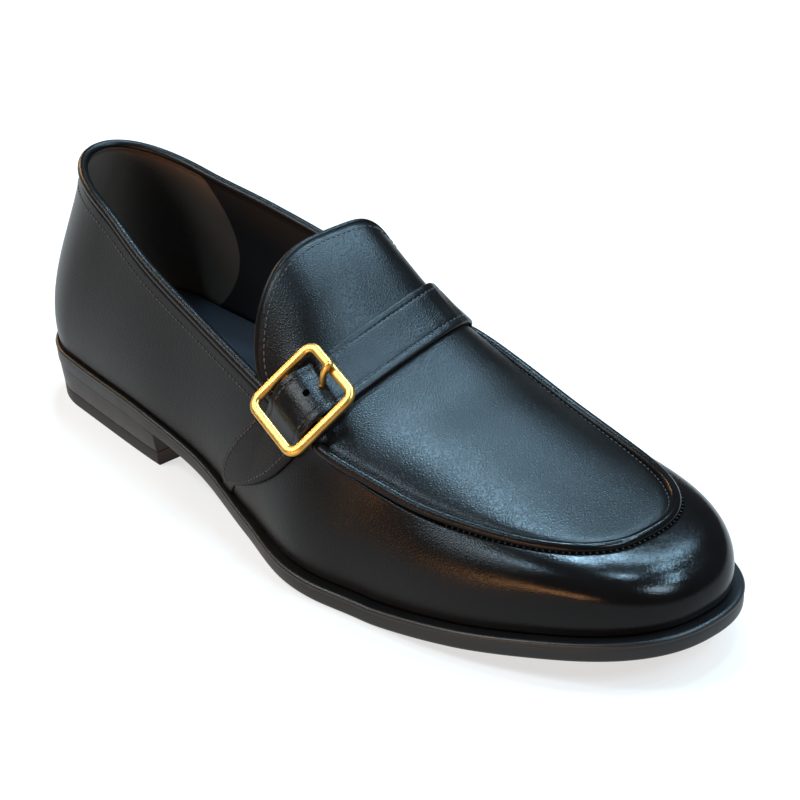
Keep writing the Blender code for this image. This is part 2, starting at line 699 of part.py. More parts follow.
def make_buckle(axes):
    """A round-edged square frame with a centre bar fused into its sides."""
    origin, along, across, off = axes
    route = rounded_square(BUCKLE_SIZE / 2 - BUCKLE_BAR / 2, BUCKLE_CORNER - BUCKLE_BAR / 2, CORNER_STEPS)
    path = np.array(route)
    run = unit(np.roll(path, -1, axis=0) - np.roll(path, 1, axis=0))
    outward = np.column_stack((run[:, 1], -run[:, 0]))
    points = []
    for place, out in zip(path, outward):
        for s in range(SECTION_STEPS):
            angle = s / SECTION_STEPS * 2 * math.pi
            plan = place + out * math.cos(angle) * BUCKLE_BAR / 2
            points.append((plan[0], plan[1], math.sin(angle) * BUCKLE_THICK / 2))
    faces = []
    count = len(path)
    for k in range(count):
        for s in range(SECTION_STEPS):
            after = (k + 1) % count
            turn = (s + 1) % SECTION_STEPS
            faces.append((k * SECTION_STEPS + s, after * SECTION_STEPS + s,
                          after * SECTION_STEPS + turn, k * SECTION_STEPS + turn))
    frame = add_piece("buckle_frame", points, faces, "gold_brass")
    frame.matrix_world = buckle_matrix(origin, along, across, off, BUCKLE_OFF)
    bpy.ops.mesh.primitive_cylinder_add(vertices=SECTION_STEPS, radius=CENTRE_BAR / 2 * MM,
                                        depth=(BUCKLE_SIZE - BUCKLE_BAR) * MM)
    bar = bpy.context.object
    bar.name = "centre_bar_tool"
    bar.matrix_world = (buckle_matrix(origin, along, across, off, CENTRE_BAR_OFF)
                        @ Matrix.Rotation(math.pi / 2, 4, "X"))
    bar.hide_render = True
    bar.display_type = "WIRE"
    join = frame.modifiers.new("centre_bar", "BOOLEAN")
    join.operation = "UNION"
    join.object = bar
    return frame


def make_prong(axes):
    origin, along, across, off = axes
    curve = bpy.data.curves.new("buckle_prong", "CURVE")
    curve.dimensions = "3D"
    curve.bevel_depth = PRONG_RADIUS * MM
    curve.bevel_resolution = 2
    curve.use_fill_caps = True
    line = curve.splines.new("POLY")
    line.points.add(len(PRONG_ROUTE) - 1)
    for point, (run, height) in zip(line.points, PRONG_ROUTE):
        place = (origin + along * run + off * height) * MM
        point.co = (*place, 1.0)
    prong = bpy.data.objects.new("buckle_prong", curve)
    curve.materials.append(finish("gold_brass"))
    bpy.context.collection.objects.link(prong)
    return prong


def make_tab():
    """The tab on the outer wall, from under the buckle's lower bar to its round end."""
    first = TAB_ROWS[0]
    last = TAB_ROWS[-1]
    grid = []
    for share in TAB_ROWS:
        down = (first - share) / (first - last)
        end = np.clip((TAB_ROUND - share) / (TAB_ROUND - last), 0.0, 1.0)
        half = TAB_WIDTH / 2 * max(float(rounding(end, TAB_SQUARE)), TAB_MIN_SHARE)
        plane = STRAP_PLANE + TAB_SHIFT - TAB_DRIFT * down ** TAB_DRIFT_POWER
        grid.append([on_plane("lateral", ("wall", share), plane + half * k) for k in TAB_COLUMNS])
    grid = np.array(grid)
    low = np.full(grid.shape[:2], GAP)
    high = low + TAB_THICK
    high[:, (0, -1)] -= TAB_THICK / 3
    return thick_patch("buckle_tab", grid, grid_outward(grid), low, high, "black_calf")


def centre_on_floor():
    """Moves every piece so that the origin is on the floor in the middle of the sole's box."""
    sole = bpy.data.objects["outsole"].data.vertices
    xs = [v.co.x for v in sole]
    ys = [v.co.y for v in sole]
    middle = Vector(((min(xs) + max(xs)) / 2, (min(ys) + max(ys)) / 2, 0.0))
    for piece in bpy.data.objects:
        piece.matrix_world = Matrix.Translation(-middle) @ piece.matrix_world


def main():
    for piece in list(bpy.data.objects):
        bpy.data.objects.remove(piece, do_unlink=True)
    make_upper()
    make_outsole()
    make_insole()
    make_heel()
    grid = strap_grid()
    outward = grid_outward(grid)
    axes = buckle_frame_axes(grid)
    make_strap(grid, outward, axes)
    make_buckle(axes)
    make_prong(axes)
    make_tab()
    centre_on_floor()


main()
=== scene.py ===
"""Looks of the buckle loafer, a right shoe in black calf with a brass buckle.

Lengths are in millimetres in the last's own frame until a mesh is made: x from the heel's back to
the toe, y to the inner side and z up from the floor. in_frame() turns them to the part's metres.
"""
import math

import bpy
import numpy as np
from mathutils import Matrix, Vector


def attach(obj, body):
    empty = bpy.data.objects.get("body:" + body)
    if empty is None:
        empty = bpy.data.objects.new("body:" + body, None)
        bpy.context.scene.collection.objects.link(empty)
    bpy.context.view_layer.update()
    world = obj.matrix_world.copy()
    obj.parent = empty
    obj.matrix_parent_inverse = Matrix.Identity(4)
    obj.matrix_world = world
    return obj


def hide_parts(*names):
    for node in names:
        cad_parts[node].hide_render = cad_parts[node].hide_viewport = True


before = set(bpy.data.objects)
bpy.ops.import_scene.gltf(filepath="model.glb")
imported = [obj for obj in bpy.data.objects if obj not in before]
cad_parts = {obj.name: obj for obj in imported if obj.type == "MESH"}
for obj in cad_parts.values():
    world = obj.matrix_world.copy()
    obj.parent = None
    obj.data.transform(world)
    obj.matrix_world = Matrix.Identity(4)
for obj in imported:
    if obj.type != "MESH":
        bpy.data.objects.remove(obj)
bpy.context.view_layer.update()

MM = 0.001
GAP = 0.3                   # glue and slack between a piece and the one below it
SIDES = ("lateral", "medial")
SIGN = {"lateral": -1.0, "medial": 1.0}

# The feather line, where the upper meets the sole: half widths, the sole's reach beyond it and the
# height of the tread. Below zero the tread is flat on the floor.
SOLE_COLUMNS = ("x", "lateral", "medial", "welt", "tread_z")
SOLE_TABLE = (
    (0, 28.0, 29.0, 1.3, 15.2),
    (40, 32.0, 30.0, 1.3, 13.6),
    (80, 35.5, 30.0, 1.4, 12.8),
    (115, 37.2, 29.5, 1.7, 8.0),
    (150, 44.0, 32.0, 2.6, 2.9),
    (180, 50.0, 37.2, 3.5, 0.6),
    (208, 46.6, 41.6, 3.7, -0.2),
    (240, 42.3, 39.8, 3.6, 3.1),
    (270, 38.3, 39.3, 3.5, 7.2),
    (300, 37.5, 37.8, 3.5, 11.0),
)
FEATHER_BACK = 2.0
FEATHER_TIP = 297.0
HEEL_ROUND = 30.0
TOE_ROUND = 225.0
HEEL_SQUARE = 2.2
TOE_SQUARE = 2.33
FLARE_FROM = 205.0
FLARE = 4.3                 # the toe's swing to the inner side
SOLE_THICK = 6.3
SEAT_ROUND = 0.25           # over the heel the sole's lower edge is hardly rounded
BREAST_X = 87.0             # the heel's front face
TOP_PIECE = 5.0

# The topline around the foot's opening, from the heel to the throat's corners.
COLLAR_COLUMNS = ("x", "lateral", "medial", "lateral_z", "medial_z")
COLLAR_TABLE = (
    (16, 18.5, 18.0, 88.0, 88.0),
    (48, 22.4, 20.3, 82.0, 80.9),
    (80, 27.9, 26.2, 71.6, 74.3),
    (115, 32.2, 30.6, 62.8, 66.7),
    (160, 37.4, 33.8, 53.0, 52.6),
)
COLLAR_BACK = 16.0
COLLAR_ROUND = 50.0
COLLAR_SQUARE = 2.1

# The apron, which is the raised seam's loop, and the crowned plug and tongue inside it.
APRON_COLUMNS = ("x", "lateral", "medial", "ridge_z", "seam_z")
APRON_TABLE = (
    (138, 38.0, 34.0, 89.0, 60.0),
    (152, 36.7, 33.0, 81.0, 54.3),
    (170, 39.0, 35.5, 65.0, 51.0),
    (190, 42.5, 37.7, 54.0, 45.0),
    (215, 39.2, 37.6, 47.0, 38.8),
    (245, 33.2, 35.3, 39.9, 34.8),
    (278, 31.3, 34.4, 34.9, 32.0),
)
CORNER_X = {"lateral": 159.0, "medial": 151.0}
FEATHER_CORNER = 152.0
APRON_TIP = 278.0
APRON_ROUND = 220.0
APRON_SQUARE = 2.55
TONGUE_X = 139.0
TONGUE_SQUARE = 3.2
TONGUE_FADE = 0.3           # by here the tongue's square end has faded from the ribs
SPINE_FRONT = 252.0         # the ribs meet on the ridge up to here
SPINE_POWER = 0.8
INSTEP_SHIFT = 7.0          # the ridge leans to the inner side from the ball back
INSTEP_FROM = 215.0
INSTEP_FULL = 152.0
INSTEP_LIMIT = 1.2
CROWN_POWER = 3.5
BEHIND = 100.0              # how far a rib moves behind the tongue's edge for each unit of v

# The side wall's curve: a bulge and a rise at its foot, a reach outwards and a drop at its top.
WALL_COLUMNS = ("x", "swell", "rise", "reach", "drop")
WALL_TABLE = (
    (0, 3.5, 0.36, 0.35, 0.35),
    (60, 2.5, 0.34, 0.28, 0.34),
    (115, 2.5, 0.34, 0.25, 0.34),
    (152, 3.0, 0.38, 0.30, 0.30),
    (200, 3.5, 0.45, 0.45, 0.28),
    (250, 3.5, 0.60, 0.50, 0.15),
    (300, 3.0, 0.75, 0.55, 0.10),
)
RIB_SAMPLES = 120
PLUG_SPREAD = 1.6           # draws the plug's samples together at its seam
WALL_SHARES = np.linspace(0.0, 1.0, RIB_SAMPLES)
PLUG_SHARES = WALL_SHARES ** PLUG_SPREAD

END_SHARES = (0.0, 0.4, 0.8)    # how a closed piece's end draws in to its middle

# How finely the upper is divided: ribs behind and ahead of the throat, rows up the outside and inside.
REAR_RIBS = 110
FRONT_RIBS = 250
OUTSIDE_ROWS = 34
INSIDE_ROWS = 14
LINING = 2.1                # the lining's depth inside the skin
LINING_FROM = 6             # the lining starts this many points before the worked edge ends
TOP_BAND = 5.2              # the height of the worked edge at the wall's top
# The worked edge in section, as (off the skin, up from the wall's top). At the collar it is a corded
# roll; ahead of the throat it is a lip that dives under the apron's bead.
ROLL_MIDDLE = (-0.6, -1.85)
ROLL_RADIUS = 1.8
ROLL_TURN = (-75.0, 200.0)  # degrees
ROLL_POINTS = 14
ROLL_FOOT = ((0.0, -5.2), (0.0, -4.7), (-0.1, -4.2), (-0.26, -3.85))
ROLL_END = ((-2.0, -3.0), (-2.1, -4.2), (-2.1, -5.2))
LIP = ((0.0, -5.2), (0.0, -4.5), (0.0, -4.0), (0.0, -3.4), (0.0, -2.8), (0.0, -2.2), (0.0, -1.6),
       (0.0, -1.1), (-0.04, -0.75), (-0.14, -0.48), (-0.32, -0.32), (-0.6, -0.25), (-0.9, -0.3),
       (-1.2, -0.42), (-1.5, -0.65), (-1.7, -1.0), (-1.85, -1.6), (-1.95, -2.4), (-2.05, -3.2),
       (-2.1, -4.2), (-2.1, -5.2))
LIP_FADE = (-0.02, 0.05)
BAND_LEVELS = (-3.0, -1.5, 0.0)     # levels on the skin that give the worked edge its direction
GATHER_PITCH = 1.9          # the hand stitches that gather the vamp under the bead at the toe
GATHER_FROM = 0.42
GATHER_SIZE = (1.3, 0.75, 0.6)

# The apron's bead and the plug beside it.
BEAD_RADIUS = 1.75
BEAD_SIDES = 18
BEAD_START = {"lateral": 0.135, "medial": 0.05}
BEAD_TAPER = 0.02
BEAD_TIP = 0.35             # the bead's share of its radius at its two ends
BEAD_OFF = 0.1
BEAD_IN = 2                 # the bead lies on this row of the plug's edge
GROOVE = 5                  # and the sewn groove on this one
PLUG_EDGE = ((0.2, -0.5), (1.0, -0.4), (1.9, -0.3), (2.8, -0.4), (3.4, -0.55), (3.8, -0.6), (4.2, -0.5),
             (4.8, -0.28), (5.6, -0.1), (6.6, -0.02), (7.6, 0.0))
PLUG_ROWS = 26
PLUG_THICK = 1.7
TONGUE_EDGE = 1.05
TONGUE_EDGE_SINK = 0.75     # how deep the tongue's rolled edge sits, in its radius

# The strap, the tab and the buckle's place.
# It runs in planes across STRAP_NORMAL, at STRAP_PLANE along it; rows are shares of a rib.
STRAP_NORMAL = np.array((0.790, 0.174, -0.588))
STRAP_PLANE = 99.1
STRAP_WIDTH = 17.7
STRAP_LOW = 0.25            # the leather's underside, which nearly touches the shoe, and its top
STRAP_TOP = 2.1
STRAP_EDGE = 0.75           # the round of its folded edges
STRAP_FOLD = 2.6            # the stitched fold along its edges
STRAP_CROWN = 0.12          # how far its middle rises between the folds
FOLD_DIP = ((-0.6, 0.08), (-0.25, 0.0), (0.0, -0.18), (0.25, -0.02), (0.7, 0.05))
STRAP_PLUG_ROWS = (0.0, 0.04, 0.09, 0.16, 0.26, 0.4, 0.55, 0.7, 0.85, 1.0)
STRAP_LATERAL_ROWS = (0.76, 0.80, 0.84, 0.88, 0.92, 0.96)
STRAP_MEDIAL_ROWS = (0.96, 0.9, 0.83, 0.76, 0.70)
STRAP_END_SLANT = 0.010
STRAP_ROWS = 170
STRAP_LINES = 15
SLICES = 60
WALL_REACH = (-0.4, 0.6)
PLUG_REACH = (-0.12, 0.6)
BUCKLE_HEIGHT = 53.9        # where on the strap the buckle's middle lies
BUCKLE_SIZE = 29.0
BUCKLE_BAR = 3.2
BUCKLE_THICK = 2.6
BUCKLE_CORNER = 5.0
BUCKLE_STEPS = 160
BUCKLE_SIDES = 20
BAR_SQUARE = 0.8            # 1 is an oval bar, less is squarer
BUCKLE_OFF = 4.0
CENTRE_BAR = 2.4
CENTRE_BAR_OFF = 2.3
STRAP_LIFT = 3.6            # the strap's arch over the centre bar
LIFT_REACH = 12.5
PRONG_RADIUS = 1.1
# The prong's wire, as (along the strap from the buckle's middle, off the leather).
PRONG_ROUTE = ((-1.9, 1.3), (-5.0, 1.2), (-7.6, 2.6), (-10.2, 5.5), (-12.2, 6.6), (-14.6, 6.6))
TAB_WIDTH = 20.0
TAB_SHIFT = -1.9
TAB_THICK = 1.5
TAB_TOP = 0.735             # its two ends and where its rounding starts, as shares up the wall
TAB_END = 0.105
TAB_ROUND = 0.55
TAB_DRIFT = 6.4             # it bends back to the heel on its way down
TAB_DRIFT_POWER = 1.5
TAB_SQUARE = 1.7
TAB_ROWS = 60
TAB_LENGTH = 42.0
TAB_TIP = 0.03              # its least width, as a share and in millimetres
TAB_LEAST = 0.3
TAB_RIM = 0.25

# Sewing: a lockstitch's pitch and thread, and how far its rows lie from an edge.
STITCH_PITCH = 2.1
STITCH_SIZE = (1.6, 0.55, 0.4)
TOPLINE_STITCH = 8.0
TOPLINE_STOP = -0.04        # the topline's row ends this far behind the throat
TONGUE_STITCH = 2.9
TAB_STITCH = 2.0
END_STITCHES = (2.2, 4.6)
THREAD_SINK = 0.12
THREAD_OFF = 0.05

# Strips over the seams: the back strip's width, and the side strips' middle plane and half width.
STRIP_THICK = 0.6
STRIP_SINK = 0.2
BACK_STRIP = 11.0
BACK_STRIP_RISE = (0.02, 0.965)
SIDE_STRIPS = {"lateral": (91.5, 0.16), "medial": (95.5, 0.74)}
SIDE_STRIP_HALF = 3.0
HOLE_PLACE = -1.5           # the punched hole, drawn as a disc of painted shade, along the strap from the buckle's middle
HOLE_RADIUS = 1.1

# The calf's finish: the bend that keeps its pebbles uneven, their creases and a finer ripple, all in
# grains, the spots of its wide shade in millimetres, and how far roughness swings with that shade.
WARP_GRAINS = 2.5
WARP_SHIFT = 0.4
CREASE = 0.4
RIPPLE_GRAINS = 1.6
RIPPLE_SHARE = 0.3
SHADE_SPOT = 14.0
SHADE_SWING = 0.08
# The burnished toe: from where to where it sets in along the part, and how it calms grain and gloss.
BURNISH_X = (0.085, 0.128)
BURNISH_CALM = 0.45
BURNISH_GLOSS = 0.15
# The heel grip's bowed front edge inside the shoe: its foremost height and place, and its bow.
GRIP_LEVEL = 0.056
GRIP_BOW = 16.0
GRIP_EDGE = (-0.0935, -0.093)

# The ceiling lamps: their height, each one's place in plan and power in watts, and their width.
CEILING = 1800.0
CEILING_LAMPS = (
    (-480.0, 600.0, 26.0), (-490.0, 1050.0, 15.0), (-240.0, 1250.0, 6.0), (-110.0, 1480.0, 6.0),
    (340.0, 350.0, 13.0), (1280.0, 970.0, 18.0), (250.0, 1170.0, 11.0), (820.0, 1080.0, 11.0),
    (-360.0, -850.0, 14.0),
)
LAMP_SIZE = 0.24
LAMP_AIM = (180.0, 0.0, 40.0)
# The cards round the shoe: place, aim, width in metres, power in watts and colour.
CARDS = {
    "warm_glow": ((420.0, -1700.0, 300.0), (240.0, 0.0, 30.0), (1.5, 0.18), 20.0, "#ffbc80"),
    "warm_back": ((-1500.0, 80.0, 650.0), (140.0, -20.0, 70.0), 0.5, 9.0, "#ffd2a4"),
    "collar_card": ((-860.0, -1500.0, 1800.0), (80.0, -25.0, 70.0), 0.9, 22.0, "#cfe6f4"),
    "toe_card": ((1900.0, 300.0, 1700.0), (290.0, 0.0, 30.0), 0.9, 52.0, "#c4e0f2"),
    "back_card": ((-560.0, -560.0, 1050.0), (166.0, -37.0, 55.0), 0.6, 7.0, "#fff0d8"),
}
FLOOR_SIZE = 12.0

# The camera: its turn round the shoe, its height and its roll in degrees, how far it looks past the
# shoe's middle, that middle and the distance to it, and the lens over a 36 mm sensor.
CAMERA_TURN = (52.116, 27.203, 4.122)
CAMERA_AIM = (-1.183, -0.173)
CAMERA_MIDDLE = (150.0, 0.0, 35.0)
CAMERA_DISTANCE = 717.1
LENS = 100.76
SENSOR = 36.0


def follow(table, columns, name, x):
    """A smooth curve through one column of a table, read at x."""
    rows = np.array(table, float)
    xs = rows[:, 0]
    ys = rows[:, columns.index(name)]
    x = np.clip(np.asarray(x, float), xs[0], xs[-1])
    step = np.diff(xs)
    slope = np.diff(ys) / step
    tangent = np.empty_like(ys)
    tangent[1:-1] = (slope[:-1] * step[1:] + slope[1:] * step[:-1]) / (step[:-1] + step[1:])
    tangent[0] = 1.5 * slope[0] - 0.5 * tangent[1]
    tangent[-1] = 1.5 * slope[-1] - 0.5 * tangent[-2]
    i = np.clip(np.searchsorted(xs, x, side="right") - 1, 0, len(xs) - 2)
    t = (x - xs[i]) / step[i]
    start = (1 + 2 * t) * (1 - t) ** 2 * ys[i] + t * (1 - t) ** 2 * step[i] * tangent[i]
    end = t * t * (3 - 2 * t) * ys[i + 1] + t * t * (t - 1) * step[i] * tangent[i + 1]
    return start + end


def ease(start, end, value):
    """0 up to start, 1 from end on, and smooth between them."""
    t = np.clip((value - start) / (end - start), 0.0, 1.0)
    return t * t * (3 - 2 * t)


def rounding(share, power):
    """A round end: 1 where share is 0 and 0 where it is 1."""
    return np.maximum(0.0, 1 - np.clip(share, 0.0, 1.0) ** power) ** (1 / power)


def unit(vectors):
    return vectors / np.maximum(np.linalg.norm(vectors, axis=-1, keepdims=True), 1e-9)


# The last's surface
def centre_y(x):
    bend = np.clip((np.asarray(x, float) - FLARE_FROM) / (FEATHER_TIP - FLARE_FROM), 0.0, 1.0)
    return FLARE * bend ** 2


def feather_y(side, x):
    half = follow(SOLE_TABLE, SOLE_COLUMNS, side, x)
    half = half * rounding((HEEL_ROUND - x) / (HEEL_ROUND - FEATHER_BACK), HEEL_SQUARE)
    half = half * rounding((x - TOE_ROUND) / (FEATHER_TIP - TOE_ROUND), TOE_SQUARE)
    return centre_y(x) + SIGN[side] * half


def tread_z(x):
    return np.maximum(0.0, follow(SOLE_TABLE, SOLE_COLUMNS, "tread_z", x))


def apron_half(side, x):
    half = follow(APRON_TABLE, APRON_COLUMNS, side, x)
    return half * rounding((x - APRON_ROUND) / (APRON_TIP - APRON_ROUND), APRON_SQUARE)


def ridge_y(x):
    lean = np.clip((INSTEP_FROM - np.asarray(x, float)) / (INSTEP_FROM - INSTEP_FULL), 0.0, INSTEP_LIMIT)
    return centre_y(x) + INSTEP_SHIFT * lean


def plug_z(x, y):
    """The crowned top of plug and tongue."""
    ridge = ridge_y(x)
    shift = ridge - centre_y(x)
    lateral = follow(APRON_TABLE, APRON_COLUMNS, "lateral", x) + shift
    medial = follow(APRON_TABLE, APRON_COLUMNS, "medial", x) - shift
    half = np.where(y < ridge, lateral, medial)
    top = follow(APRON_TABLE, APRON_COLUMNS, "ridge_z", x)
    seam = follow(APRON_TABLE, APRON_COLUMNS, "seam_z", x)
    return top - (top - seam) * np.abs((y - ridge) / half) ** CROWN_POWER


def quarter_sine(v):
    return math.sin(min(abs(v), 1.0) * math.pi / 2)


def feather_plan(side, v):
    """The feather line in plan; v runs from -1 at the heel over 0 at the throat to 1 at the toe."""
    reach = FEATHER_TIP - FEATHER_CORNER if v > 0 else FEATHER_BACK - FEATHER_CORNER
    x = FEATHER_CORNER + reach * quarter_sine(v)
    return np.array((x, float(feather_y(side, x))))


def feather_point(side, v):
    """The upper's foot and the outward direction there."""
    small = 0.001
    place = feather_plan(side, v)
    along = feather_plan(side, min(v + small, 1.0)) - feather_plan(side, max(v - small, -1.0))
    if abs(v) > 1 - small:
        outward = np.array((math.copysign(1.0, v), 0.0, 0.0))
    else:
        outward = unit(np.array((-along[1], along[0], 0.0)) * SIGN[side])
    height = float(tread_z(place[0])) + SOLE_THICK + GAP
    return np.array((place[0], place[1], height)), outward


def top_point(side, v):
    """A point of the topline behind the throat, or of the apron seam ahead of it."""
    if v < 0:
        x = CORNER_X[side] - (CORNER_X[side] - COLLAR_BACK) * quarter_sine(v)
        half = follow(COLLAR_TABLE, COLLAR_COLUMNS, side, x)
        half = half * rounding((COLLAR_ROUND - x) / (COLLAR_ROUND - COLLAR_BACK), COLLAR_SQUARE)
        height = follow(COLLAR_TABLE, COLLAR_COLUMNS, side + "_z", x)
        return np.array((x, SIGN[side] * float(half), float(height)))
    x = CORNER_X[side] + (APRON_TIP - CORNER_X[side]) * quarter_sine(v)
    y = float(centre_y(x) + SIGN[side] * apron_half(side, x))
    return np.array((x, y, float(plug_z(x, y))))


def wall_points(side, v, t):
    """The side wall's curve at v, read at the shares t of its way up."""
    foot, outward = feather_point(side, v)
    top = top_point(side, v)
    swell, rise, reach, drop = (float(follow(WALL_TABLE, WALL_COLUMNS, name, foot[0]))
                                for name in WALL_COLUMNS[1:])
    height = top[2] - foot[2]
    inset = math.hypot(top[0] - foot[0], top[1] - foot[1])
    low = foot + outward * swell + np.array((0.0, 0.0, rise * height))
    high = top + outward * (reach * inset) - np.array((0.0, 0.0, drop * height))
    t = np.asarray(t, float)[:, None]
    return (1 - t) ** 3 * foot + 3 * (1 - t) ** 2 * t * low + 3 * (1 - t) * t ** 2 * high + t ** 3 * top


def plug_points(side, v, r):
    """A rib of the plug at v, from the seam (r = 0) to the ridge (r = 1).

    Below zero v goes on behind the tongue's edge, for the strap that reaches over the throat's corner.
    """
    seam = top_point(side, max(v, 0.0))
    ridge_x = TONGUE_X + (SPINE_FRONT - TONGUE_X) * quarter_sine(max(v, 0.0)) ** SPINE_POWER
    ridge = float(ridge_y(ridge_x))
    square = TONGUE_SQUARE + (1 - TONGUE_SQUARE) * float(ease(0.0, TONGUE_FADE, v))
    left = 1 - np.asarray(r, float)
    x = ridge_x + (seam[0] - ridge_x) * (1 - rounding(left, square)) + min(v, 0.0) * BEHIND
    y = ridge + (seam[1] - ridge) * left
    return np.column_stack((x, y, plug_z(x, y)))


def run_of(points):
    """Lengths along a polyline, from its first point."""
    return np.concatenate(((0.0,), np.cumsum(np.linalg.norm(np.diff(points, axis=0), axis=1))))


def read_at(at, places, values):
    """Points or directions that are known at places along a line, read at other places."""
    return np.column_stack([np.interp(at, places, values[:, k]) for k in range(3)])


def at_lengths(points, lengths):
    return read_at(lengths, run_of(points), points)


def spaced(points, count):
    """The same polyline with evenly spaced points."""
    return at_lengths(points, np.linspace(0.0, run_of(points)[-1], count))


def sheet_normals(points, closed=False):
    """Unit normals of a sheet of points[column, row]; its columns may close round."""
    if closed:
        padded = np.concatenate((points[-2:-1], points, points[1:2]))
        along = np.gradient(padded, axis=0)[1:-1]
    else:
        along = np.gradient(points, axis=0)
    return unit(np.cross(along, np.gradient(points, axis=1)))


def outwards(normals, points):
    """Turns normals away from the foot's middle line."""
    away = points - np.array((0.0, 0.0, 25.0))
    away[..., 0] = (points[..., 0] - 150.0) * 0.3
    return np.where(np.sum(normals * away, axis=-1, keepdims=True) < 0, -normals, normals)


def sole_ring(out, steps=220):
    """The sole's outline in plan, moved out from the feather line, heel first and outer side first."""
    turn = np.linspace(0.0, math.pi, steps + 1)
    xs = FEATHER_BACK + (FEATHER_TIP - FEATHER_BACK) * (1 - np.cos(turn)) / 2
    lateral = np.column_stack((xs, feather_y("lateral", xs)))
    medial = np.column_stack((xs, feather_y("medial", xs)))[1:-1]
    ring = np.concatenate((lateral, medial[::-1]))
    along = unit(np.roll(ring, -1, axis=0) - np.roll(ring, 1, axis=0))
    return ring + np.column_stack((along[:, 1], -along[:, 0])) * np.asarray(out, float)[..., None]


def welt_of(ring):
    return follow(SOLE_TABLE, SOLE_COLUMNS, "welt", ring[:, 0])


SOLE_RIM = 0.3
RIM_RING = sole_ring(welt_of(sole_ring(0.0)) + SOLE_RIM)
LAST_MIDDLE = np.array((*((RIM_RING.min(axis=0) + RIM_RING.max(axis=0)) / 2), 0.0))


def in_frame(points):
    """Last millimetres to the part's metres."""
    return (np.asarray(points, float) - LAST_MIDDLE) * MM


# Making pieces
def deselect():
    if bpy.context.object and bpy.context.object.mode != "OBJECT":
        bpy.ops.object.mode_set(mode="OBJECT")
    bpy.ops.object.select_all(action="DESELECT")


def pick(piece):
    """Selects one piece alone."""
    deselect()
    piece.select_set(True)
    bpy.context.view_layer.objects.active = piece


def weld(piece, distance=0.004):
    """Merges points that lie together and turns the faces outwards."""
    pick(piece)
    bpy.ops.object.mode_set(mode="EDIT")
    bpy.ops.mesh.select_all(action="SELECT")
    bpy.ops.mesh.remove_doubles(threshold=distance * MM)
    bpy.ops.mesh.normals_make_consistent(inside=False)
    bpy.ops.object.mode_set(mode="OBJECT")
    bpy.ops.object.shade_smooth()


def apply_modifier(piece, kind, **settings):
    """Adds a modifier with its settings and applies it."""
    pick(piece)
    modifier = piece.modifiers.new(kind.lower(), kind)
    for name, value in settings.items():
        setattr(modifier, name, value)
    bpy.ops.object.modifier_apply(modifier=modifier.name)


def grid_piece(name, points, marks=None):
    """A grid primitive laid on points[column, row], with values per point kept as attributes."""
    columns, rows = points.shape[:2]
    deselect()
    bpy.ops.mesh.primitive_grid_add(x_subdivisions=columns - 1, y_subdivisions=rows - 1, size=1.0)
    piece = bpy.context.object
    piece.name = name
    piece.data.name = name
    count = len(piece.data.vertices)
    flat = np.empty(count * 3)
    piece.data.vertices.foreach_get("co", flat)
    flat = flat.reshape(-1, 3)
    i = np.rint((flat[:, 0] + 0.5) * (columns - 1)).astype(int)
    j = np.rint((flat[:, 1] + 0.5) * (rows - 1)).astype(int)
    piece.data.vertices.foreach_set("co", in_frame(points[i, j]).ravel())
    for mark, values in (marks or {}).items():
        layer = piece.data.attributes.new(mark, "FLOAT", "POINT")
        layer.data.foreach_set("value", np.asarray(values, float)[i, j].ravel())
    weld(piece)
    return piece


def paint(piece, mark, material):
    """Gives a second material to the faces whose points all carry a mark."""
    values = np.empty(len(piece.data.vertices))
    piece.data.attributes[mark].data.foreach_get("value", values)
    piece.data.materials.append(material)
    for face in piece.data.polygons:
        if all(values[k] > 0.5 for k in face.vertices):
            face.material_index = 1


def loop_piece(name, sections):
    """A closed piece through closed sections[row, point]; both ends draw together and close."""
    middles = sections.mean(axis=1, keepdims=True)
    start = [middles[0] + (sections[0] - middles[0]) * k for k in END_SHARES]
    end = [middles[-1] + (sections[-1] - middles[-1]) * k for k in reversed(END_SHARES)]
    rows = np.concatenate((start, sections, end))
    return grid_piece(name, np.concatenate((rows, rows[:, :1]), axis=1))


def shrunk(ring, share):
    """A ring drawn in to the line midway between its two sides."""
    partner = np.roll(ring[::-1], 1, axis=0)
    middle = (ring + partner) / 2
    return middle + (ring - middle) * share


def ring_piece(name, rings, low, high):
    """A closed piece through closed rings; its ends draw in by the shares low and high."""
    start = [shrunk(rings[0], k) for k in low]
    end = [shrunk(rings[-1], k) for k in reversed(high)]
    points = np.array(start + rings + end)
    return grid_piece(name, np.concatenate((points, points[:, :1]), axis=1))


def dress(piece, material, slot, *nodes):
    """Gives a piece its finish, lets it ride on the root and hides the model's parts for the nodes it
    stands for.
    """
    piece.data.materials.clear()
    piece.data.materials.append(material)
    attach(piece, "root")
    if nodes:
        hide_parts(*nodes)
    return piece


# Materials
def linear(code):
    """An sRGB hex colour as linear red, green, blue and alpha."""
    parts = [int(code[k:k + 2], 16) / 255 for k in (1, 3, 5)]
    return (*(c / 12.92 if c <= 0.04045 else ((c + 0.055) / 1.055) ** 2.4 for c in parts), 1.0)


def add(tree, kind, inputs=None, **settings):
    """Adds a node with its settings; a socket among the inputs is linked, anything else is set."""
    node = tree.nodes.new(kind)
    for name, value in settings.items():
        setattr(node, name, value)
    for key, value in (inputs or {}).items():
        if isinstance(value, bpy.types.NodeSocket):
            tree.links.new(value, node.inputs[key])
        else:
            node.inputs[key].default_value = value
    return node


def new_material(name):
    material = bpy.data.materials.new(name)
    material.use_nodes = True
    tree = material.node_tree
    return material, tree, tree.nodes["Principled BSDF"]


def per_metre(size):
    """A texture scale that gives cells of this many millimetres."""
    return 1 / (size * MM)


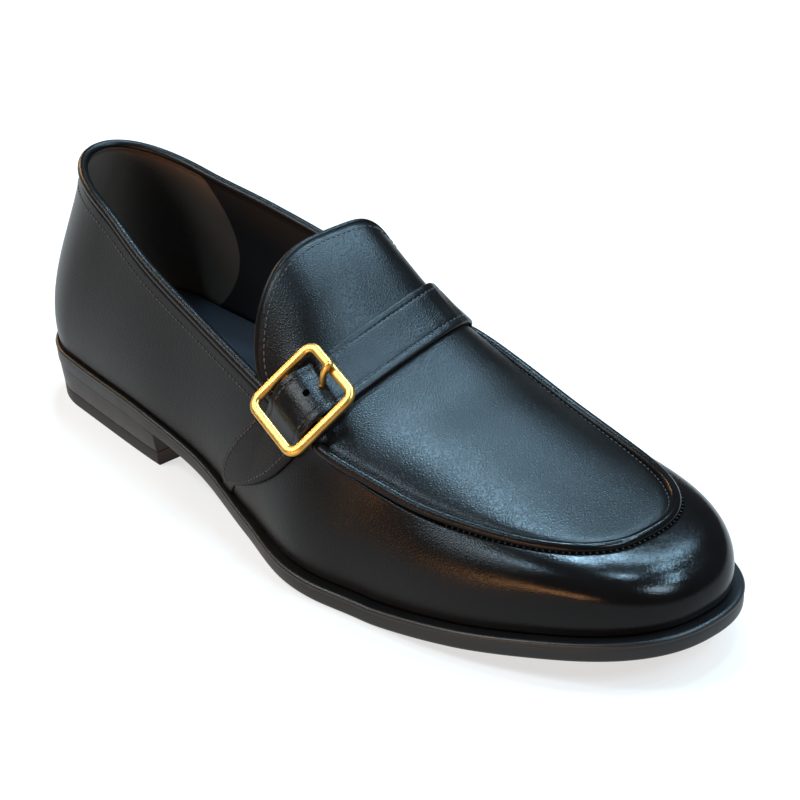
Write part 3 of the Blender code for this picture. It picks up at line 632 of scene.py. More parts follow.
def black_calf(name, grain, depth, roughness, burnish, specular):
    """Drum-dyed black calf, plated with a fine pebble grain and then wax-polished.

    Pebbles with narrow creases break the gloss into small glints; the toe is burnished smoother.
    """
    material, tree, shader = new_material(name)
    place = add(tree, "ShaderNodeTexCoord").outputs["Object"]
    warp = add(tree, "ShaderNodeTexNoise",
               {"Vector": place, "Scale": per_metre(grain * WARP_GRAINS), "Detail": 2.0})
    moved = add(tree, "ShaderNodeVectorMath",
                {0: warp.outputs["Color"], 3: grain * MM * WARP_SHIFT}, operation="SCALE")
    bent = add(tree, "ShaderNodeVectorMath", {0: place, 1: moved.outputs["Vector"]}, operation="ADD")
    cells = add(tree, "ShaderNodeTexVoronoi", {"Vector": bent.outputs["Vector"], "Scale": per_metre(grain)},
                feature="DISTANCE_TO_EDGE")
    pebble = add(tree, "ShaderNodeMapRange", {"Value": cells.outputs["Distance"], "From Max": CREASE},
                 interpolation_type="SMOOTHSTEP")
    ripple = add(tree, "ShaderNodeTexNoise",
                 {"Vector": place, "Scale": per_metre(grain * RIPPLE_GRAINS), "Detail": 1.0})
    height = add(tree, "ShaderNodeMath",
                 {0: ripple.outputs["Fac"], 1: RIPPLE_SHARE, 2: pebble.outputs["Result"]},
                 operation="MULTIPLY_ADD")
    along = add(tree, "ShaderNodeSeparateXYZ", {"Vector": place})
    toe = add(tree, "ShaderNodeMapRange",
              {"Value": along.outputs["X"], "From Min": BURNISH_X[0], "From Max": BURNISH_X[1]},
              interpolation_type="SMOOTHSTEP").outputs["Result"]
    calm = add(tree, "ShaderNodeMath", {0: toe, 1: -BURNISH_CALM * burnish, 2: 1.0},
               operation="MULTIPLY_ADD")
    bump = add(tree, "ShaderNodeBump", {"Height": height.outputs["Value"], "Distance": depth * MM,
                                        "Strength": calm.outputs["Value"]})
    tree.links.new(bump.outputs["Normal"], shader.inputs["Normal"])
    shade = add(tree, "ShaderNodeTexNoise",
                {"Vector": place, "Scale": per_metre(SHADE_SPOT), "Detail": 3.0}).outputs["Fac"]
    tone = add(tree, "ShaderNodeMix", {"Factor": shade, 6: linear("#0a0a0b"), 7: linear("#151313")},
               data_type="RGBA")
    tree.links.new(tone.outputs[2], shader.inputs["Base Color"])
    worn = add(tree, "ShaderNodeMath", {0: shade, 1: SHADE_SWING, 2: roughness - SHADE_SWING / 2},
               operation="MULTIPLY_ADD")
    shine = add(tree, "ShaderNodeMath", {0: toe, 1: -BURNISH_GLOSS * burnish, 2: worn.outputs["Value"]},
                operation="MULTIPLY_ADD")
    tree.links.new(shine.outputs["Value"], shader.inputs["Roughness"])
    shader.inputs["Specular IOR Level"].default_value = specular
    return material


def waxed_edge():
    """Leather sole edge, trimmed, inked black and burnished with hot wax: satin, with faint layers."""
    material, tree, shader = new_material("waxed_sole_edge")
    place = add(tree, "ShaderNodeTexCoord").outputs["Object"]
    layers = add(tree, "ShaderNodeMapping", {"Vector": place, "Scale": (0.15, 0.15, 1.0)})
    fibre = add(tree, "ShaderNodeTexNoise",
                {"Vector": layers.outputs["Vector"], "Scale": per_metre(0.5), "Detail": 4.0})
    bump = add(tree, "ShaderNodeBump",
               {"Height": fibre.outputs["Fac"], "Distance": 0.04 * MM, "Strength": 0.5})
    tree.links.new(bump.outputs["Normal"], shader.inputs["Normal"])
    patch = add(tree, "ShaderNodeTexNoise",
                {"Vector": place, "Scale": per_metre(9.0), "Detail": 3.0}).outputs["Fac"]
    tone = add(tree, "ShaderNodeMix", {"Factor": patch, 6: linear("#101012"), 7: linear("#1c1a1a")},
               data_type="RGBA")
    tree.links.new(tone.outputs[2], shader.inputs["Base Color"])
    rough = add(tree, "ShaderNodeMath", {0: patch, 1: 0.16, 2: 0.34}, operation="MULTIPLY_ADD")
    tree.links.new(rough.outputs["Value"], shader.inputs["Roughness"])
    return material


def lining_leather():
    """Goatskin lining: black in front, a brown sueded heel grip behind, both matte. Both tones, the grip's
    brown most, are painted lighter than the leather's own to make up for the shade inside the shoe.
    """
    material, tree, shader = new_material("goat_lining")
    place = add(tree, "ShaderNodeTexCoord").outputs["Object"]
    nap = add(tree, "ShaderNodeTexNoise", {"Vector": place, "Scale": per_metre(0.7), "Detail": 4.0})
    bump = add(tree, "ShaderNodeBump",
               {"Height": nap.outputs["Fac"], "Distance": 0.12 * MM, "Strength": 0.5})
    tree.links.new(bump.outputs["Normal"], shader.inputs["Normal"])
    along = add(tree, "ShaderNodeSeparateXYZ", {"Vector": place})
    level = add(tree, "ShaderNodeMath", {0: along.outputs["Z"], 1: GRIP_LEVEL}, operation="SUBTRACT")
    square = add(tree, "ShaderNodeMath", {0: level.outputs["Value"], 1: 2.0}, operation="POWER")
    bow = add(tree, "ShaderNodeMath", {0: square.outputs["Value"], 1: GRIP_BOW, 2: along.outputs["X"]},
              operation="MULTIPLY_ADD")
    front = add(tree, "ShaderNodeMapRange",
                {"Value": bow.outputs["Value"], "From Min": GRIP_EDGE[0], "From Max": GRIP_EDGE[1]})
    # Partly painted light: the grip's brown and the black are real, but both are lighter than the leather's
    # own to make up for the shade inside the shoe.
    tone = add(tree, "ShaderNodeMix",
               {"Factor": front.outputs["Result"], 6: linear("#665950"), 7: linear("#201e1f")},
               data_type="RGBA")
    tree.links.new(tone.outputs[2], shader.inputs["Base Color"])
    shader.inputs["Roughness"].default_value = 0.72
    shader.inputs["Specular IOR Level"].default_value = 0.3
    return material


def spotted_finish(name, spot, detail, depth, strength, dark, light, roughness):
    """A finish whose noise, in spots of this many millimetres, gives both its bump and its two tones."""
    material, tree, shader = new_material(name)
    place = add(tree, "ShaderNodeTexCoord").outputs["Object"]
    spots = add(tree, "ShaderNodeTexNoise",
                {"Vector": place, "Scale": per_metre(spot), "Detail": detail}).outputs["Fac"]
    bump = add(tree, "ShaderNodeBump", {"Height": spots, "Distance": depth * MM, "Strength": strength})
    tree.links.new(bump.outputs["Normal"], shader.inputs["Normal"])
    tone = add(tree, "ShaderNodeMix", {"Factor": spots, 6: linear(dark), 7: linear(light)},
               data_type="RGBA")
    tree.links.new(tone.outputs[2], shader.inputs["Base Color"])
    shader.inputs["Roughness"].default_value = roughness
    return material, tree, shader, spots


def polished_brass():
    """Cast brass, gold-plated and buffed: bright, with faint wheel marks in spots of warmer and paler tone.
    """
    material, tree, shader, marks = spotted_finish("gold_plated_brass", 6.0, 3.0, 0.02, 0.2,
                                                   "#b98f47", "#d6b474", 0.4)
    rough = add(tree, "ShaderNodeMath", {0: marks, 1: 0.1, 2: 0.35}, operation="MULTIPLY_ADD")
    tree.links.new(rough.outputs["Value"], shader.inputs["Roughness"])
    shader.inputs["Metallic"].default_value = 1.0
    return material


def sock_leather():
    """Smooth pigmented sock leather, blue-black and satin, with a fine even grain."""
    return spotted_finish("sock_leather_navy", 0.9, 4.0, 0.08, 0.4, "#353a42", "#444a54", 0.5)[0]


def heel_rubber():
    """Moulded black rubber, matte and slightly grainy."""
    return spotted_finish("moulded_rubber", 0.4, 3.0, 0.06, 0.5, "#0d0d0e", "#171616", 0.55)[0]


def waxed_thread():
    """Twisted polyester thread, waxed black: a dull sheen, broken up by the twist."""
    return spotted_finish("waxed_thread", 0.3, 2.0, 0.05, 0.6, "#2a2a2d", "#414147", 0.6)[0]


def pit_shadow():
    """Painted shade for a punched hole: flat black without any gloss, so that a disc laid over the hole
    reads as its dark pit.
    """
    material, _, shader = new_material("painted_hole_shade")
    shader.inputs["Base Color"].default_value = linear("#030303")
    shader.inputs["Roughness"].default_value = 1.0
    shader.inputs["Specular IOR Level"].default_value = 0.0
    return material


# The upper
def plug_columns():
    """The plug's ribs over the outer side to the toe and back over the inner side."""
    values = [k / FRONT_RIBS for k in range(FRONT_RIBS + 1)]
    return [("lateral", v) for v in values] + [("medial", v) for v in values[-2::-1]]


def rib_list():
    """All ribs round the foot: outer side from heel to toe, then the inner side back to the heel."""
    rear = [-1 + k / REAR_RIBS for k in range(REAR_RIBS)]
    return [("lateral", v) for v in rear] + plug_columns() + [("medial", v) for v in reversed(rear)]


def edge_sections():
    """The collar's roll and the front lip in section, as equal counts of (off, up) points."""
    turns = np.radians(np.linspace(*ROLL_TURN, ROLL_POINTS))
    circle = np.column_stack((ROLL_MIDDLE[0] + ROLL_RADIUS * np.cos(turns),
                              ROLL_MIDDLE[1] + ROLL_RADIUS * np.sin(turns)))
    return np.concatenate((ROLL_FOOT, circle, ROLL_END)), np.array(LIP)


def make_wall():
    """Quarters and vamp side as one folded wall: outside up, over its worked edge, and down inside."""
    up = np.linspace(0.0, 1.0, OUTSIDE_ROWS)
    down = np.linspace(1.0, 0.0, INSIDE_ROWS + 1)[1:]
    roll, lip = edge_sections()
    outside = []
    inside = []
    band = []
    tops = []
    for side, v in rib_list():
        rib = wall_points(side, v, WALL_SHARES)
        length = run_of(rib)[-1]
        section = roll + (lip - roll) * float(ease(*LIP_FADE, v))
        outside.append(at_lengths(rib, up * (length - TOP_BAND)))
        inside.append(at_lengths(rib, down * (length - TOP_BAND)))
        band.append((at_lengths(rib, length + np.minimum(section[:, 1], 0.0)), section[:, 0]))
        tops.append(at_lengths(rib, length + np.array(BAND_LEVELS)))
    outside = np.array(outside)
    tops = np.array(tops)
    normals = sheet_normals(np.concatenate((outside, tops), axis=1), closed=True)
    top_normals = normals[:, OUTSIDE_ROWS + 1]
    edge = np.array([place + normal * off[:, None] for (place, off), normal in zip(band, top_normals)])
    rows = (down * (OUTSIDE_ROWS - 1)).astype(int)
    inner = np.array(inside) - normals[:, rows] * LINING
    sheet = np.concatenate((outside, edge[:, 1:], inner, outside[:, :1]), axis=1)
    inside_mark = np.zeros(sheet.shape[:2])
    inside_mark[:, OUTSIDE_ROWS + len(roll) - LINING_FROM:-1] = 1.0
    piece = grid_piece("upper_wall", sheet, {"inside": inside_mark})
    return piece, tops[:, -1], top_normals


def plug_sheet():
    """Points of the plug and tongue from the seam to the ridge, close together along the sewn edge."""
    columns = []
    edge = np.array([d for d, _ in PLUG_EDGE])
    for side, v in plug_columns():
        rib = plug_points(side, v, PLUG_SHARES)
        rest = np.linspace(edge[-1], run_of(rib)[-1], PLUG_ROWS + 1)[1:]
        columns.append(at_lengths(rib, np.concatenate((edge, rest))))
    return np.array(columns)


def make_plug():
    """Plug and tongue as one crowned sheet, grooved beside the bead and along its sewn line."""
    sheet = plug_sheet()
    normals = sheet_normals(sheet)
    if normals[..., 2].mean() < 0:
        normals = -normals
    drop = np.zeros(sheet.shape[1])
    drop[:len(PLUG_EDGE)] = [h for _, h in PLUG_EDGE]
    ahead = np.array([float(ease(BEAD_START[side], BEAD_START[side] + BEAD_TAPER, v))
                      for side, v in plug_columns()])
    piece = grid_piece("plug", sheet + normals * (drop[None, :] * ahead[:, None])[..., None])
    apply_modifier(piece, "SOLIDIFY", thickness=PLUG_THICK * MM, offset=-1.0)
    return piece, sheet, normals


def tube(name, path, normals, radius, sides):
    """A round cord along a path; its radius may change along it."""
    along = unit(np.gradient(path, axis=0))
    across = unit(np.cross(along, normals))
    off = np.cross(across, along)
    angles = np.linspace(0.0, 2 * math.pi, sides, endpoint=False)
    radius = np.broadcast_to(radius, len(path))
    ring = np.cos(angles)[None, :, None] * across[:, None] + np.sin(angles)[None, :, None] * off[:, None]
    return loop_piece(name, path[:, None] + ring * radius[:, None, None])


def make_bead(sheet, normals):
    """The apron's raised bead, a cord under the plug's edge that tapers off below the strap."""
    columns = plug_columns()
    keep = [k for k, (side, v) in enumerate(columns) if v >= BEAD_START[side]]
    values = np.array([columns[k][1] - BEAD_START[columns[k][0]] for k in keep])
    taper = BEAD_TIP + (1 - BEAD_TIP) * ease(0.0, BEAD_TAPER, values)
    off = normals[keep, BEAD_IN]
    return tube("apron_bead", sheet[keep, BEAD_IN] + off * BEAD_OFF, off, BEAD_RADIUS * taper, BEAD_SIDES)


def tongue_line(count):
    """The tongue's free edge from the outer corner to the inner one."""
    lateral = plug_points("lateral", 0.0, PLUG_SHARES)
    medial = plug_points("medial", 0.0, PLUG_SHARES)
    return spaced(np.concatenate((lateral, medial[-2::-1])), count)


def make_tongue_edge(sheet, normals):
    """The tongue's folded edge, a slim roll along its free end."""
    path = tongue_line(180)
    up = np.concatenate((normals[0], normals[-1][-2::-1]))
    line = np.concatenate((sheet[0], sheet[-1][-2::-1]))
    off = unit(read_at(run_of(path), run_of(line), up))
    return tube("tongue_edge", path - off * TONGUE_EDGE * TONGUE_EDGE_SINK, off, TONGUE_EDGE, 14)


# The strap, its buckle and the tab
def on_planes(side, place, shares, planes):
    """Surface points of one row, where it crosses planes parallel to the strap's."""
    reach = WALL_REACH if place == "wall" else PLUG_REACH
    read = wall_points if place == "wall" else plug_points
    ribs = np.array([read(side, v, shares) for v in np.linspace(*reach, SLICES)])
    heights = ribs @ STRAP_NORMAL
    return np.array([[[np.interp(p, heights[:, j], ribs[:, j, k]) for k in range(3)] for p in planes]
                     for j in range(len(shares))])


def strap_grid(offsets):
    """Surface points under the strap, from its end below the buckle over the instep: [row, offset]."""
    planes = STRAP_PLANE + offsets
    plug = np.array(STRAP_PLUG_ROWS)
    rows = [on_planes("lateral", "wall", np.array(STRAP_LATERAL_ROWS), planes),
            on_planes("lateral", "plug", plug, planes),
            on_planes("medial", "plug", plug[-2::-1], planes)]
    slanted = [on_planes("medial", "wall", np.array(STRAP_MEDIAL_ROWS) - STRAP_END_SLANT * offset, [plane])
               for offset, plane in zip(offsets, planes)]
    rows.append(np.concatenate(slanted, axis=1))
    return np.concatenate(rows)


def buckle_axes():
    """The buckle's middle on the leather, and its axes: along the strap, across it and off it."""
    half = STRAP_WIDTH / 2
    grid = strap_grid(np.array((-half, -half / 6, half / 6, half)))
    line = ((grid[:, 1] + grid[:, 2]) / 2)[: len(STRAP_LATERAL_ROWS) + len(STRAP_PLUG_ROWS)]
    run = run_of(line)
    here = float(np.interp(BUCKLE_HEIGHT, line[:, 2], run))
    span = (BUCKLE_SIZE - BUCKLE_BAR) / 2
    lower, origin, upper = at_lengths(line, (here - span, here, here + span))
    along = unit(lower - upper)
    under = np.abs(run - here) < span
    chords = (grid[: len(run), -1] - grid[: len(run), 0])[under]
    off = unit(np.cross(along, chords.mean(axis=0)))
    return origin, along, np.cross(off, along), off


def strap_lift(along):
    """The arch over the buckle's centre bar, at a place along the strap."""
    return STRAP_LIFT * np.cos(np.clip(along / LIFT_REACH, -1.0, 1.0) * math.pi / 2) ** 2


def strap_section():
    """The strap's section as closed (across, off) points: flat below, folded and stitched edges above."""
    half = STRAP_WIDTH / 2
    low, high = STRAP_LOW, STRAP_TOP
    top = [(-half + STRAP_EDGE * (1 - math.cos(a)), high - STRAP_EDGE + STRAP_EDGE * math.sin(a))
           for a in np.linspace(0.0, math.pi / 2, 5)]
    top += [(-half + STRAP_FOLD + w, high + h) for w, h in FOLD_DIP]
    top += [(w, high + STRAP_CROWN) for w in np.linspace(-half + STRAP_FOLD + 2.0, 0.0, 5)]
    mirrored = [(-w, h) for w, h in top[-2::-1]]
    bottom = [(half - 0.3, low + 0.1), (half * 0.5, low), (-half * 0.5, low), (-half + 0.3, low + 0.1)]
    return np.array(top + mirrored + bottom)


def smooth_rows(values, times):
    """Softens values along the rows of a strip."""
    for _ in range(times):
        values[1:-1] = (values[:-2] + 2 * values[1:-1] + values[2:]) / 4
    return values


def make_strap(axes):
    """The strap over the instep, which arches over the buckle's centre bar and ends square inside."""
    origin, along, _, off = axes
    section = strap_section()
    offsets = np.linspace(-STRAP_WIDTH / 2, STRAP_WIDTH / 2, STRAP_LINES)
    coarse = strap_grid(offsets)
    grid = np.stack([spaced(coarse[:, k], STRAP_ROWS) for k in range(STRAP_LINES)], axis=1)
    normals = sheet_normals(grid)
    foot = np.array((grid[..., 0].mean(), 0.0, 20.0))
    if np.sum(normals * (grid - foot)) < 0:
        normals = -normals
    normals = unit(smooth_rows(normals, 6))
    near = np.abs((grid - origin) @ off) < BUCKLE_SIZE / 2
    lift = np.where(near, strap_lift((grid - origin) @ along), 0.0)
    rows = []
    for line, normal, rise in zip(grid, normals, lift):
        base = read_at(section[:, 0], offsets, line)
        up = unit(read_at(section[:, 0], offsets, normal))
        rows.append(base + up * (section[:, 1] + np.interp(section[:, 0], offsets, rise))[:, None])
    return loop_piece("strap_band", np.array(rows)), grid, normals, lift, offsets


def buckle_matrix(axes, height):
    """The buckle's place at a height off the leather."""
    origin, along, across, off = axes
    columns = np.eye(4)
    columns[:3, 0] = along
    columns[:3, 1] = across
    columns[:3, 2] = off
    columns[:3, 3] = in_frame(origin + off * height)
    return Matrix(columns.tolist())


def settle(piece, matrix):
    """Puts a piece in its place and moves that place into its mesh."""
    pick(piece)
    piece.matrix_world = matrix
    bpy.ops.object.transform_apply(location=True, rotation=True, scale=True)
    return piece


def rounded_square(half, radius, steps):
    """A square's outline with round corners, as a closed loop of points in plan."""
    points = []
    for k in range(4):
        start = k * math.pi / 2
        middle = Matrix.Rotation(start, 2) @ Vector((half - radius, half - radius))
        for s in range(steps + 1):
            angle = start + s / steps * math.pi / 2
            points.append((middle.x + radius * math.cos(angle), middle.y + radius * math.sin(angle), 0.0))
    return np.array(points + points[:1])


def make_buckle(axes):
    """A square frame of rounded bar with round corners, and its centre bar."""
    corner = rounded_square((BUCKLE_SIZE - BUCKLE_BAR) / 2, BUCKLE_CORNER - BUCKLE_BAR / 2, 12)
    path = spaced(corner, BUCKLE_STEPS + 1)
    along = unit(np.roll(path[:-1], -1, axis=0) - np.roll(path[:-1], 1, axis=0))
    outward = np.column_stack((along[:, 1], -along[:, 0], np.zeros(BUCKLE_STEPS)))
    turns = np.linspace(0.0, 2 * math.pi, BUCKLE_SIDES + 1)
    wide = np.sign(np.cos(turns)) * np.abs(np.cos(turns)) ** BAR_SQUARE * BUCKLE_BAR / 2
    high = np.sign(np.sin(turns)) * np.abs(np.sin(turns)) ** BAR_SQUARE * BUCKLE_THICK / 2
    upward = np.array((0.0, 0.0, 1.0))
    bars = path[:-1, None] + outward[:, None] * wide[None, :, None] + high[None, :, None] * upward
    frame_piece = grid_piece("buckle_square", np.concatenate((bars, bars[:1])) + LAST_MIDDLE)
    settle(frame_piece, buckle_matrix(axes, BUCKLE_OFF))
    deselect()
    bpy.ops.mesh.primitive_cylinder_add(vertices=24, radius=CENTRE_BAR / 2 * MM,
                                        depth=(BUCKLE_SIZE - BUCKLE_BAR) * MM)
    bar = bpy.context.object
    apply_modifier(bar, "BEVEL", width=0.4 * MM, segments=3, limit_method="ANGLE")
    bpy.ops.object.shade_smooth_by_angle(angle=math.radians(50))
    settle(bar, buckle_matrix(axes, CENTRE_BAR_OFF) @ Matrix.Rotation(math.pi / 2, 4, "X"))
    pick(frame_piece)
    bar.select_set(True)
    bpy.ops.object.join()
    return frame_piece


def make_prong(axes):
    """The prong: a round wire with a blunt tip, bent up through the strap onto the frame."""
    origin, along, across, off = axes
    route = np.array([origin + along * run + off * height for run, height in PRONG_ROUTE])
    path = smooth_rows(spaced(route, 40), 4)
    tip = np.minimum(run_of(path)[::-1], run_of(path))
    radius = PRONG_RADIUS * np.sqrt(np.clip(1 - (1 - np.clip(tip / PRONG_RADIUS, 0, 1)) ** 2, 0.04, 1.0))
    return tube("buckle_pin", path, np.broadcast_to(across, path.shape), radius, 16)


def tab_half(share):
    """Half the tab's width at a share up the wall."""
    end = np.clip((TAB_ROUND - share) / (TAB_ROUND - TAB_END), 0.0, 1.0)
    return TAB_WIDTH / 2 * np.maximum(rounding(end, TAB_SQUARE), TAB_TIP)


def tab_grid(inset):
    """Surface points of the tab at a distance inside its outline, [row, across]."""
    end = TAB_END + (TAB_TOP - TAB_END) * inset / TAB_LENGTH
    turn = np.linspace(0.0, math.pi / 2, TAB_ROWS)
    shares = TAB_TOP + (end - TAB_TOP) * np.sin(turn)
    down = (TAB_TOP - shares) / (TAB_TOP - TAB_END)
    middle = STRAP_PLANE + TAB_SHIFT - TAB_DRIFT * down ** TAB_DRIFT_POWER
    halves = np.maximum(tab_half(np.maximum(shares, TAB_END)) - inset, TAB_LEAST)
    ribs = np.array([wall_points("lateral", v, shares) for v in np.linspace(*WALL_REACH, SLICES)])
    heights = ribs @ STRAP_NORMAL
    across = np.linspace(-1.0, 1.0, 21)
    rows = [read_at(m + half * across, heights[:, j], ribs[:, j])
            for j, (m, half) in enumerate(zip(middle, halves))]
    return np.array(rows), across


def make_tab():
    """The round-ended tab that holds the buckle, sewn flat on the outer side."""
    grid, across = tab_grid(0.0)
    normals = sheet_normals(grid)
    if normals[..., 1].mean() > 0:
        normals = -normals
    normals = unit(smooth_rows(normals, 3))
    high = GAP + TAB_RIM + (TAB_THICK - TAB_RIM) * rounding(np.abs(across), 10.0)
    top = grid + normals * high[None, :, None]
    low = grid + normals * GAP
    return loop_piece("tab", np.concatenate((top, low[:, ::-1]), axis=1))


# Sewing and small pieces
def plug_normal(points):
    """Directions off the crowned plug at points in plan."""
    step = 0.2
    x, y = points[:, 0], points[:, 1]
    slope_x = (plug_z(x + step, y) - plug_z(x - step, y)) / (2 * step)
    slope_y = (plug_z(x, y + step) - plug_z(x, y - step)) / (2 * step)
    return unit(np.column_stack((-slope_x, -slope_y, np.ones(len(points)))))


def stitch_places(path, normals, pitch):
    """Middles, directions and normals of the stitches along a path."""
    run = run_of(path)
    count = max(2, int(run[-1] / pitch))
    at = (np.arange(count) + 0.5) * run[-1] / count
    middles = at_lengths(path, at)
    step = 0.3
    along = unit(at_lengths(path, np.minimum(at + step, run[-1])) - at_lengths(path, at - step))
    return middles, along, unit(read_at(at, run, normals))


def make_stitches(name, rows, size, pitch, crossed=False):
    """One stitch is modelled, a stretched ball, and copied along every row into one mesh.

    Crossed stitches lie across their row.
    """
    deselect()
    bpy.ops.mesh.primitive_uv_sphere_add(segments=8, ring_count=6, radius=0.5)
    model = bpy.context.object
    shape = np.array([vertex.co for vertex in model.data.vertices]) * np.array(size)
    faces = [list(face.vertices) for face in model.data.polygons]
    bpy.data.objects.remove(model)
    points = []
    all_faces = []
    for path, normals in rows:
        for middle, along, off in zip(*stitch_places(path, normals, pitch)):
            across = unit(np.cross(off, along))
            turn = np.stack((across, -along, off) if crossed else (along, across, off))
            base = len(points) * len(shape)
            all_faces += [[base + k for k in face] for face in faces]
            points.append(in_frame(middle + shape @ turn))
    mesh = bpy.data.meshes.new(name)
    mesh.from_pydata(np.concatenate(points).tolist(), [], all_faces)
    piece = bpy.data.objects.new(name, mesh)
    bpy.context.scene.collection.objects.link(piece)
    weld(piece, 0.0005)
    return piece


def topline_row():
    """The sewn line below the collar's roll, over the heel from throat to throat."""
    ribs = [rib for rib in rib_list() if rib[1] < TOPLINE_STOP]
    half = len(ribs) // 2
    path = []
    for side, v in ribs[half:] + ribs[:half]:
        rib = wall_points(side, v, WALL_SHARES)
        level = run_of(rib)[-1] - TOPLINE_STITCH
        path.append(at_lengths(rib, (level - 2.0, level)))
    path = np.array(path)
    normals = outwards(sheet_normals(path), path)[:, 1]
    return path[:, 1] + normals * THREAD_OFF, normals


def tongue_row():
    """The sewn line inside the tongue's free edge."""
    edge = tongue_line(160)
    along = unit(np.gradient(edge, axis=0))
    inward = unit(np.cross(along, plug_normal(edge)))
    if inward[len(edge) // 2, 0] < 0:
        inward = -inward
    path = edge + inward * TONGUE_STITCH
    path[:, 2] = plug_z(path[:, 0], path[:, 1])
    normals = plug_normal(path)
    return (path + normals * THREAD_OFF)[6:-6], normals[6:-6]


def strap_rows(grid, normals, lift, offsets):
    """Sewn lines along both folds of the strap, and two across its inner end."""
    top = grid + normals * (STRAP_TOP - THREAD_SINK + lift)[..., None]
    rows = []
    for inset in (-STRAP_WIDTH / 2 + STRAP_FOLD, STRAP_WIDTH / 2 - STRAP_FOLD):
        share = (inset - offsets[0]) / (offsets[1] - offsets[0])
        k = int(share)
        part = share - k
        line = top[:, k] * (1 - part) + top[:, k + 1] * part
        rows.append((line, normals[:, k]))
    middle = len(offsets) // 2
    run = run_of(top[:, middle])
    for back in END_STITCHES:
        k = int(np.searchsorted(run, run[-1] - back))
        rows.append((top[k, 2:-2] + normals[k, 2:-2] * 0.15, normals[k, 2:-2]))
    return rows


def tab_row():
    """The sewn line inside the tab's outline."""
    grid, _ = tab_grid(TAB_STITCH)
    normals = outwards(sheet_normals(grid), grid)
    top = grid + normals * (GAP + TAB_THICK + 0.02)
    path = np.concatenate((top[:, 0], top[-1, 1:-1], top[::-1, -1]))
    off = np.concatenate((normals[:, 1], normals[-2, 1:-1], normals[::-1, -2]))
    return path, off


def strip_piece(name, grid):
    """A thin strip over a grid of surface points [row, across], with its edges skived down."""
    normals = outwards(sheet_normals(grid), grid)
    across = np.linspace(-1.0, 1.0, grid.shape[1])
    high = THREAD_OFF + STRIP_THICK * rounding(np.abs(across), 8.0)
    top = grid + normals * high[None, :, None]
    low = grid - normals * STRIP_SINK
    return loop_piece(name, np.concatenate((top, low[:, ::-1]), axis=1))


def make_back_strip():
    """The strip that covers the quarters' seam down the heel's back."""
    values = np.linspace(-0.8, -1.0, 40)
    offsets = np.linspace(-BACK_STRIP / 2, BACK_STRIP / 2, 17)
    shares = np.linspace(*BACK_STRIP_RISE, 50)
    lateral = np.array([wall_points("lateral", v, shares) for v in values])
    medial = np.array([wall_points("medial", v, shares) for v in values[-2::-1]])
    ring = np.concatenate((lateral, medial))
    seam = len(values) - 1
    rows = [at_lengths(line, run_of(line)[seam] + offsets) for line in ring.swapaxes(0, 1)]
    return strip_piece("back_strip", np.array(rows))


def make_side_strip(side):
    """The strip that goes on from tab or strap end down to the sole."""
    plane, top = SIDE_STRIPS[side]
    planes = plane + np.linspace(-SIDE_STRIP_HALF, SIDE_STRIP_HALF, 9)
    return strip_piece(side + "_side_strip", on_planes(side, "wall", np.linspace(0.0, top, 24), planes))


def make_hole_shade_disc(grid, normals, lift, axes):
    """A punched hole in the strap, drawn as a thin disc on the strap's top that carries painted shade for
    the dark pit.
    """
    origin, along, _, off = axes
    middle = grid.shape[1] // 2
    near = [k for k in range(len(grid)) if abs((grid[k, middle] - origin) @ off) < BUCKLE_SIZE / 2]
    k = min(near, key=lambda row: abs((grid[row, middle] - origin) @ along - HOLE_PLACE))
    top = grid[k, middle] + normals[k, middle] * (STRAP_TOP + STRAP_CROWN + lift[k, middle])
    deselect()
    bpy.ops.mesh.primitive_cylinder_add(vertices=24, radius=HOLE_RADIUS * MM, depth=0.3 * MM)
    hole = bpy.context.object
    hole.name = "painted_hole_shade_disc"
    turn = Vector(normals[k, middle]).to_track_quat("Z", "Y").to_matrix().to_4x4()
    return settle(hole, Matrix.Translation(Vector(in_frame(top))) @ turn)


# The sole and heel
def make_outsole():
    """The sole with its rolled rim, a trimmed edge and a plain tread."""
    base = sole_ring(0.0)
    welt = welt_of(base)
    tread = tread_z(base[:, 0])
    profile = [(-6.0, "tread", 0.0), (-2.2, "tread", 0.0), (-1.2, "tread", 0.06), (-0.5, "tread", 0.3),
               (-0.1, "tread", 0.8), (0.0, "tread", 1.4), (0.05, "tread", 2.2), (0.08, "top", -3.2),
               (0.08, "top", -2.4), (0.02, "top", -2.0), (-0.04, "top", -1.8), (0.06, "top", -1.62),
               (0.25, "top", -1.3), (0.3, "top", -0.8), (0.1, "top", -0.35), (-0.3, "top", -0.08),
               (-0.8, "top", 0.0), (-1.4, "top", -0.2), (-6.0, "top", -0.2)]
    walked = SEAT_ROUND + (1 - SEAT_ROUND) * ease(BREAST_X - 8.0, BREAST_X + 8.0, base[:, 0])
    rings = []
    for out, level, rise in profile:
        share = walked if level == "tread" and out > -2.0 else 1.0
        plan = sole_ring(welt + out * share)
        height = tread + rise * share + (SOLE_THICK if level == "top" else 0.0)
        rings.append(np.column_stack((plan, height)))
    return ring_piece("sole", rings, END_SHARES, END_SHARES)


def heel_ring(inset):
    """The heel's outline in plan: round at the back and straight across the breast."""
    base = sole_ring(0.0)
    edge = sole_ring(welt_of(base) - inset)
    keep = [k for k in range(1, len(edge) // 2) if edge[k, 0] < BREAST_X and edge[-k, 0] < BREAST_X]
    front = keep[-1] + 1
    corners = []
    for here, after in ((keep[-1], front), (-keep[-1], -front)):
        share = (BREAST_X - edge[here, 0]) / (edge[after, 0] - edge[here, 0])
        corners.append(edge[here] + share * (edge[after] - edge[here]))
    lateral = [edge[k] for k in keep] + [corners[0]]
    medial = [edge[-k] for k in keep] + [corners[1]]
    return np.array([edge[0]] + lateral + medial[::-1])


def heel_piece(name, profile, height):
    """A heel layer through (inset, share of its height) rows; height gives its two levels at a ring."""
    rings = []
    for inset, share, rise in profile:
        plan = heel_ring(inset)
        low, high = height(plan[:, 0])
        rings.append(np.column_stack((plan, low + (high - low) * share + rise)))
    return ring_piece(name, rings, (0.0, 0.5), (0.0, 0.5))


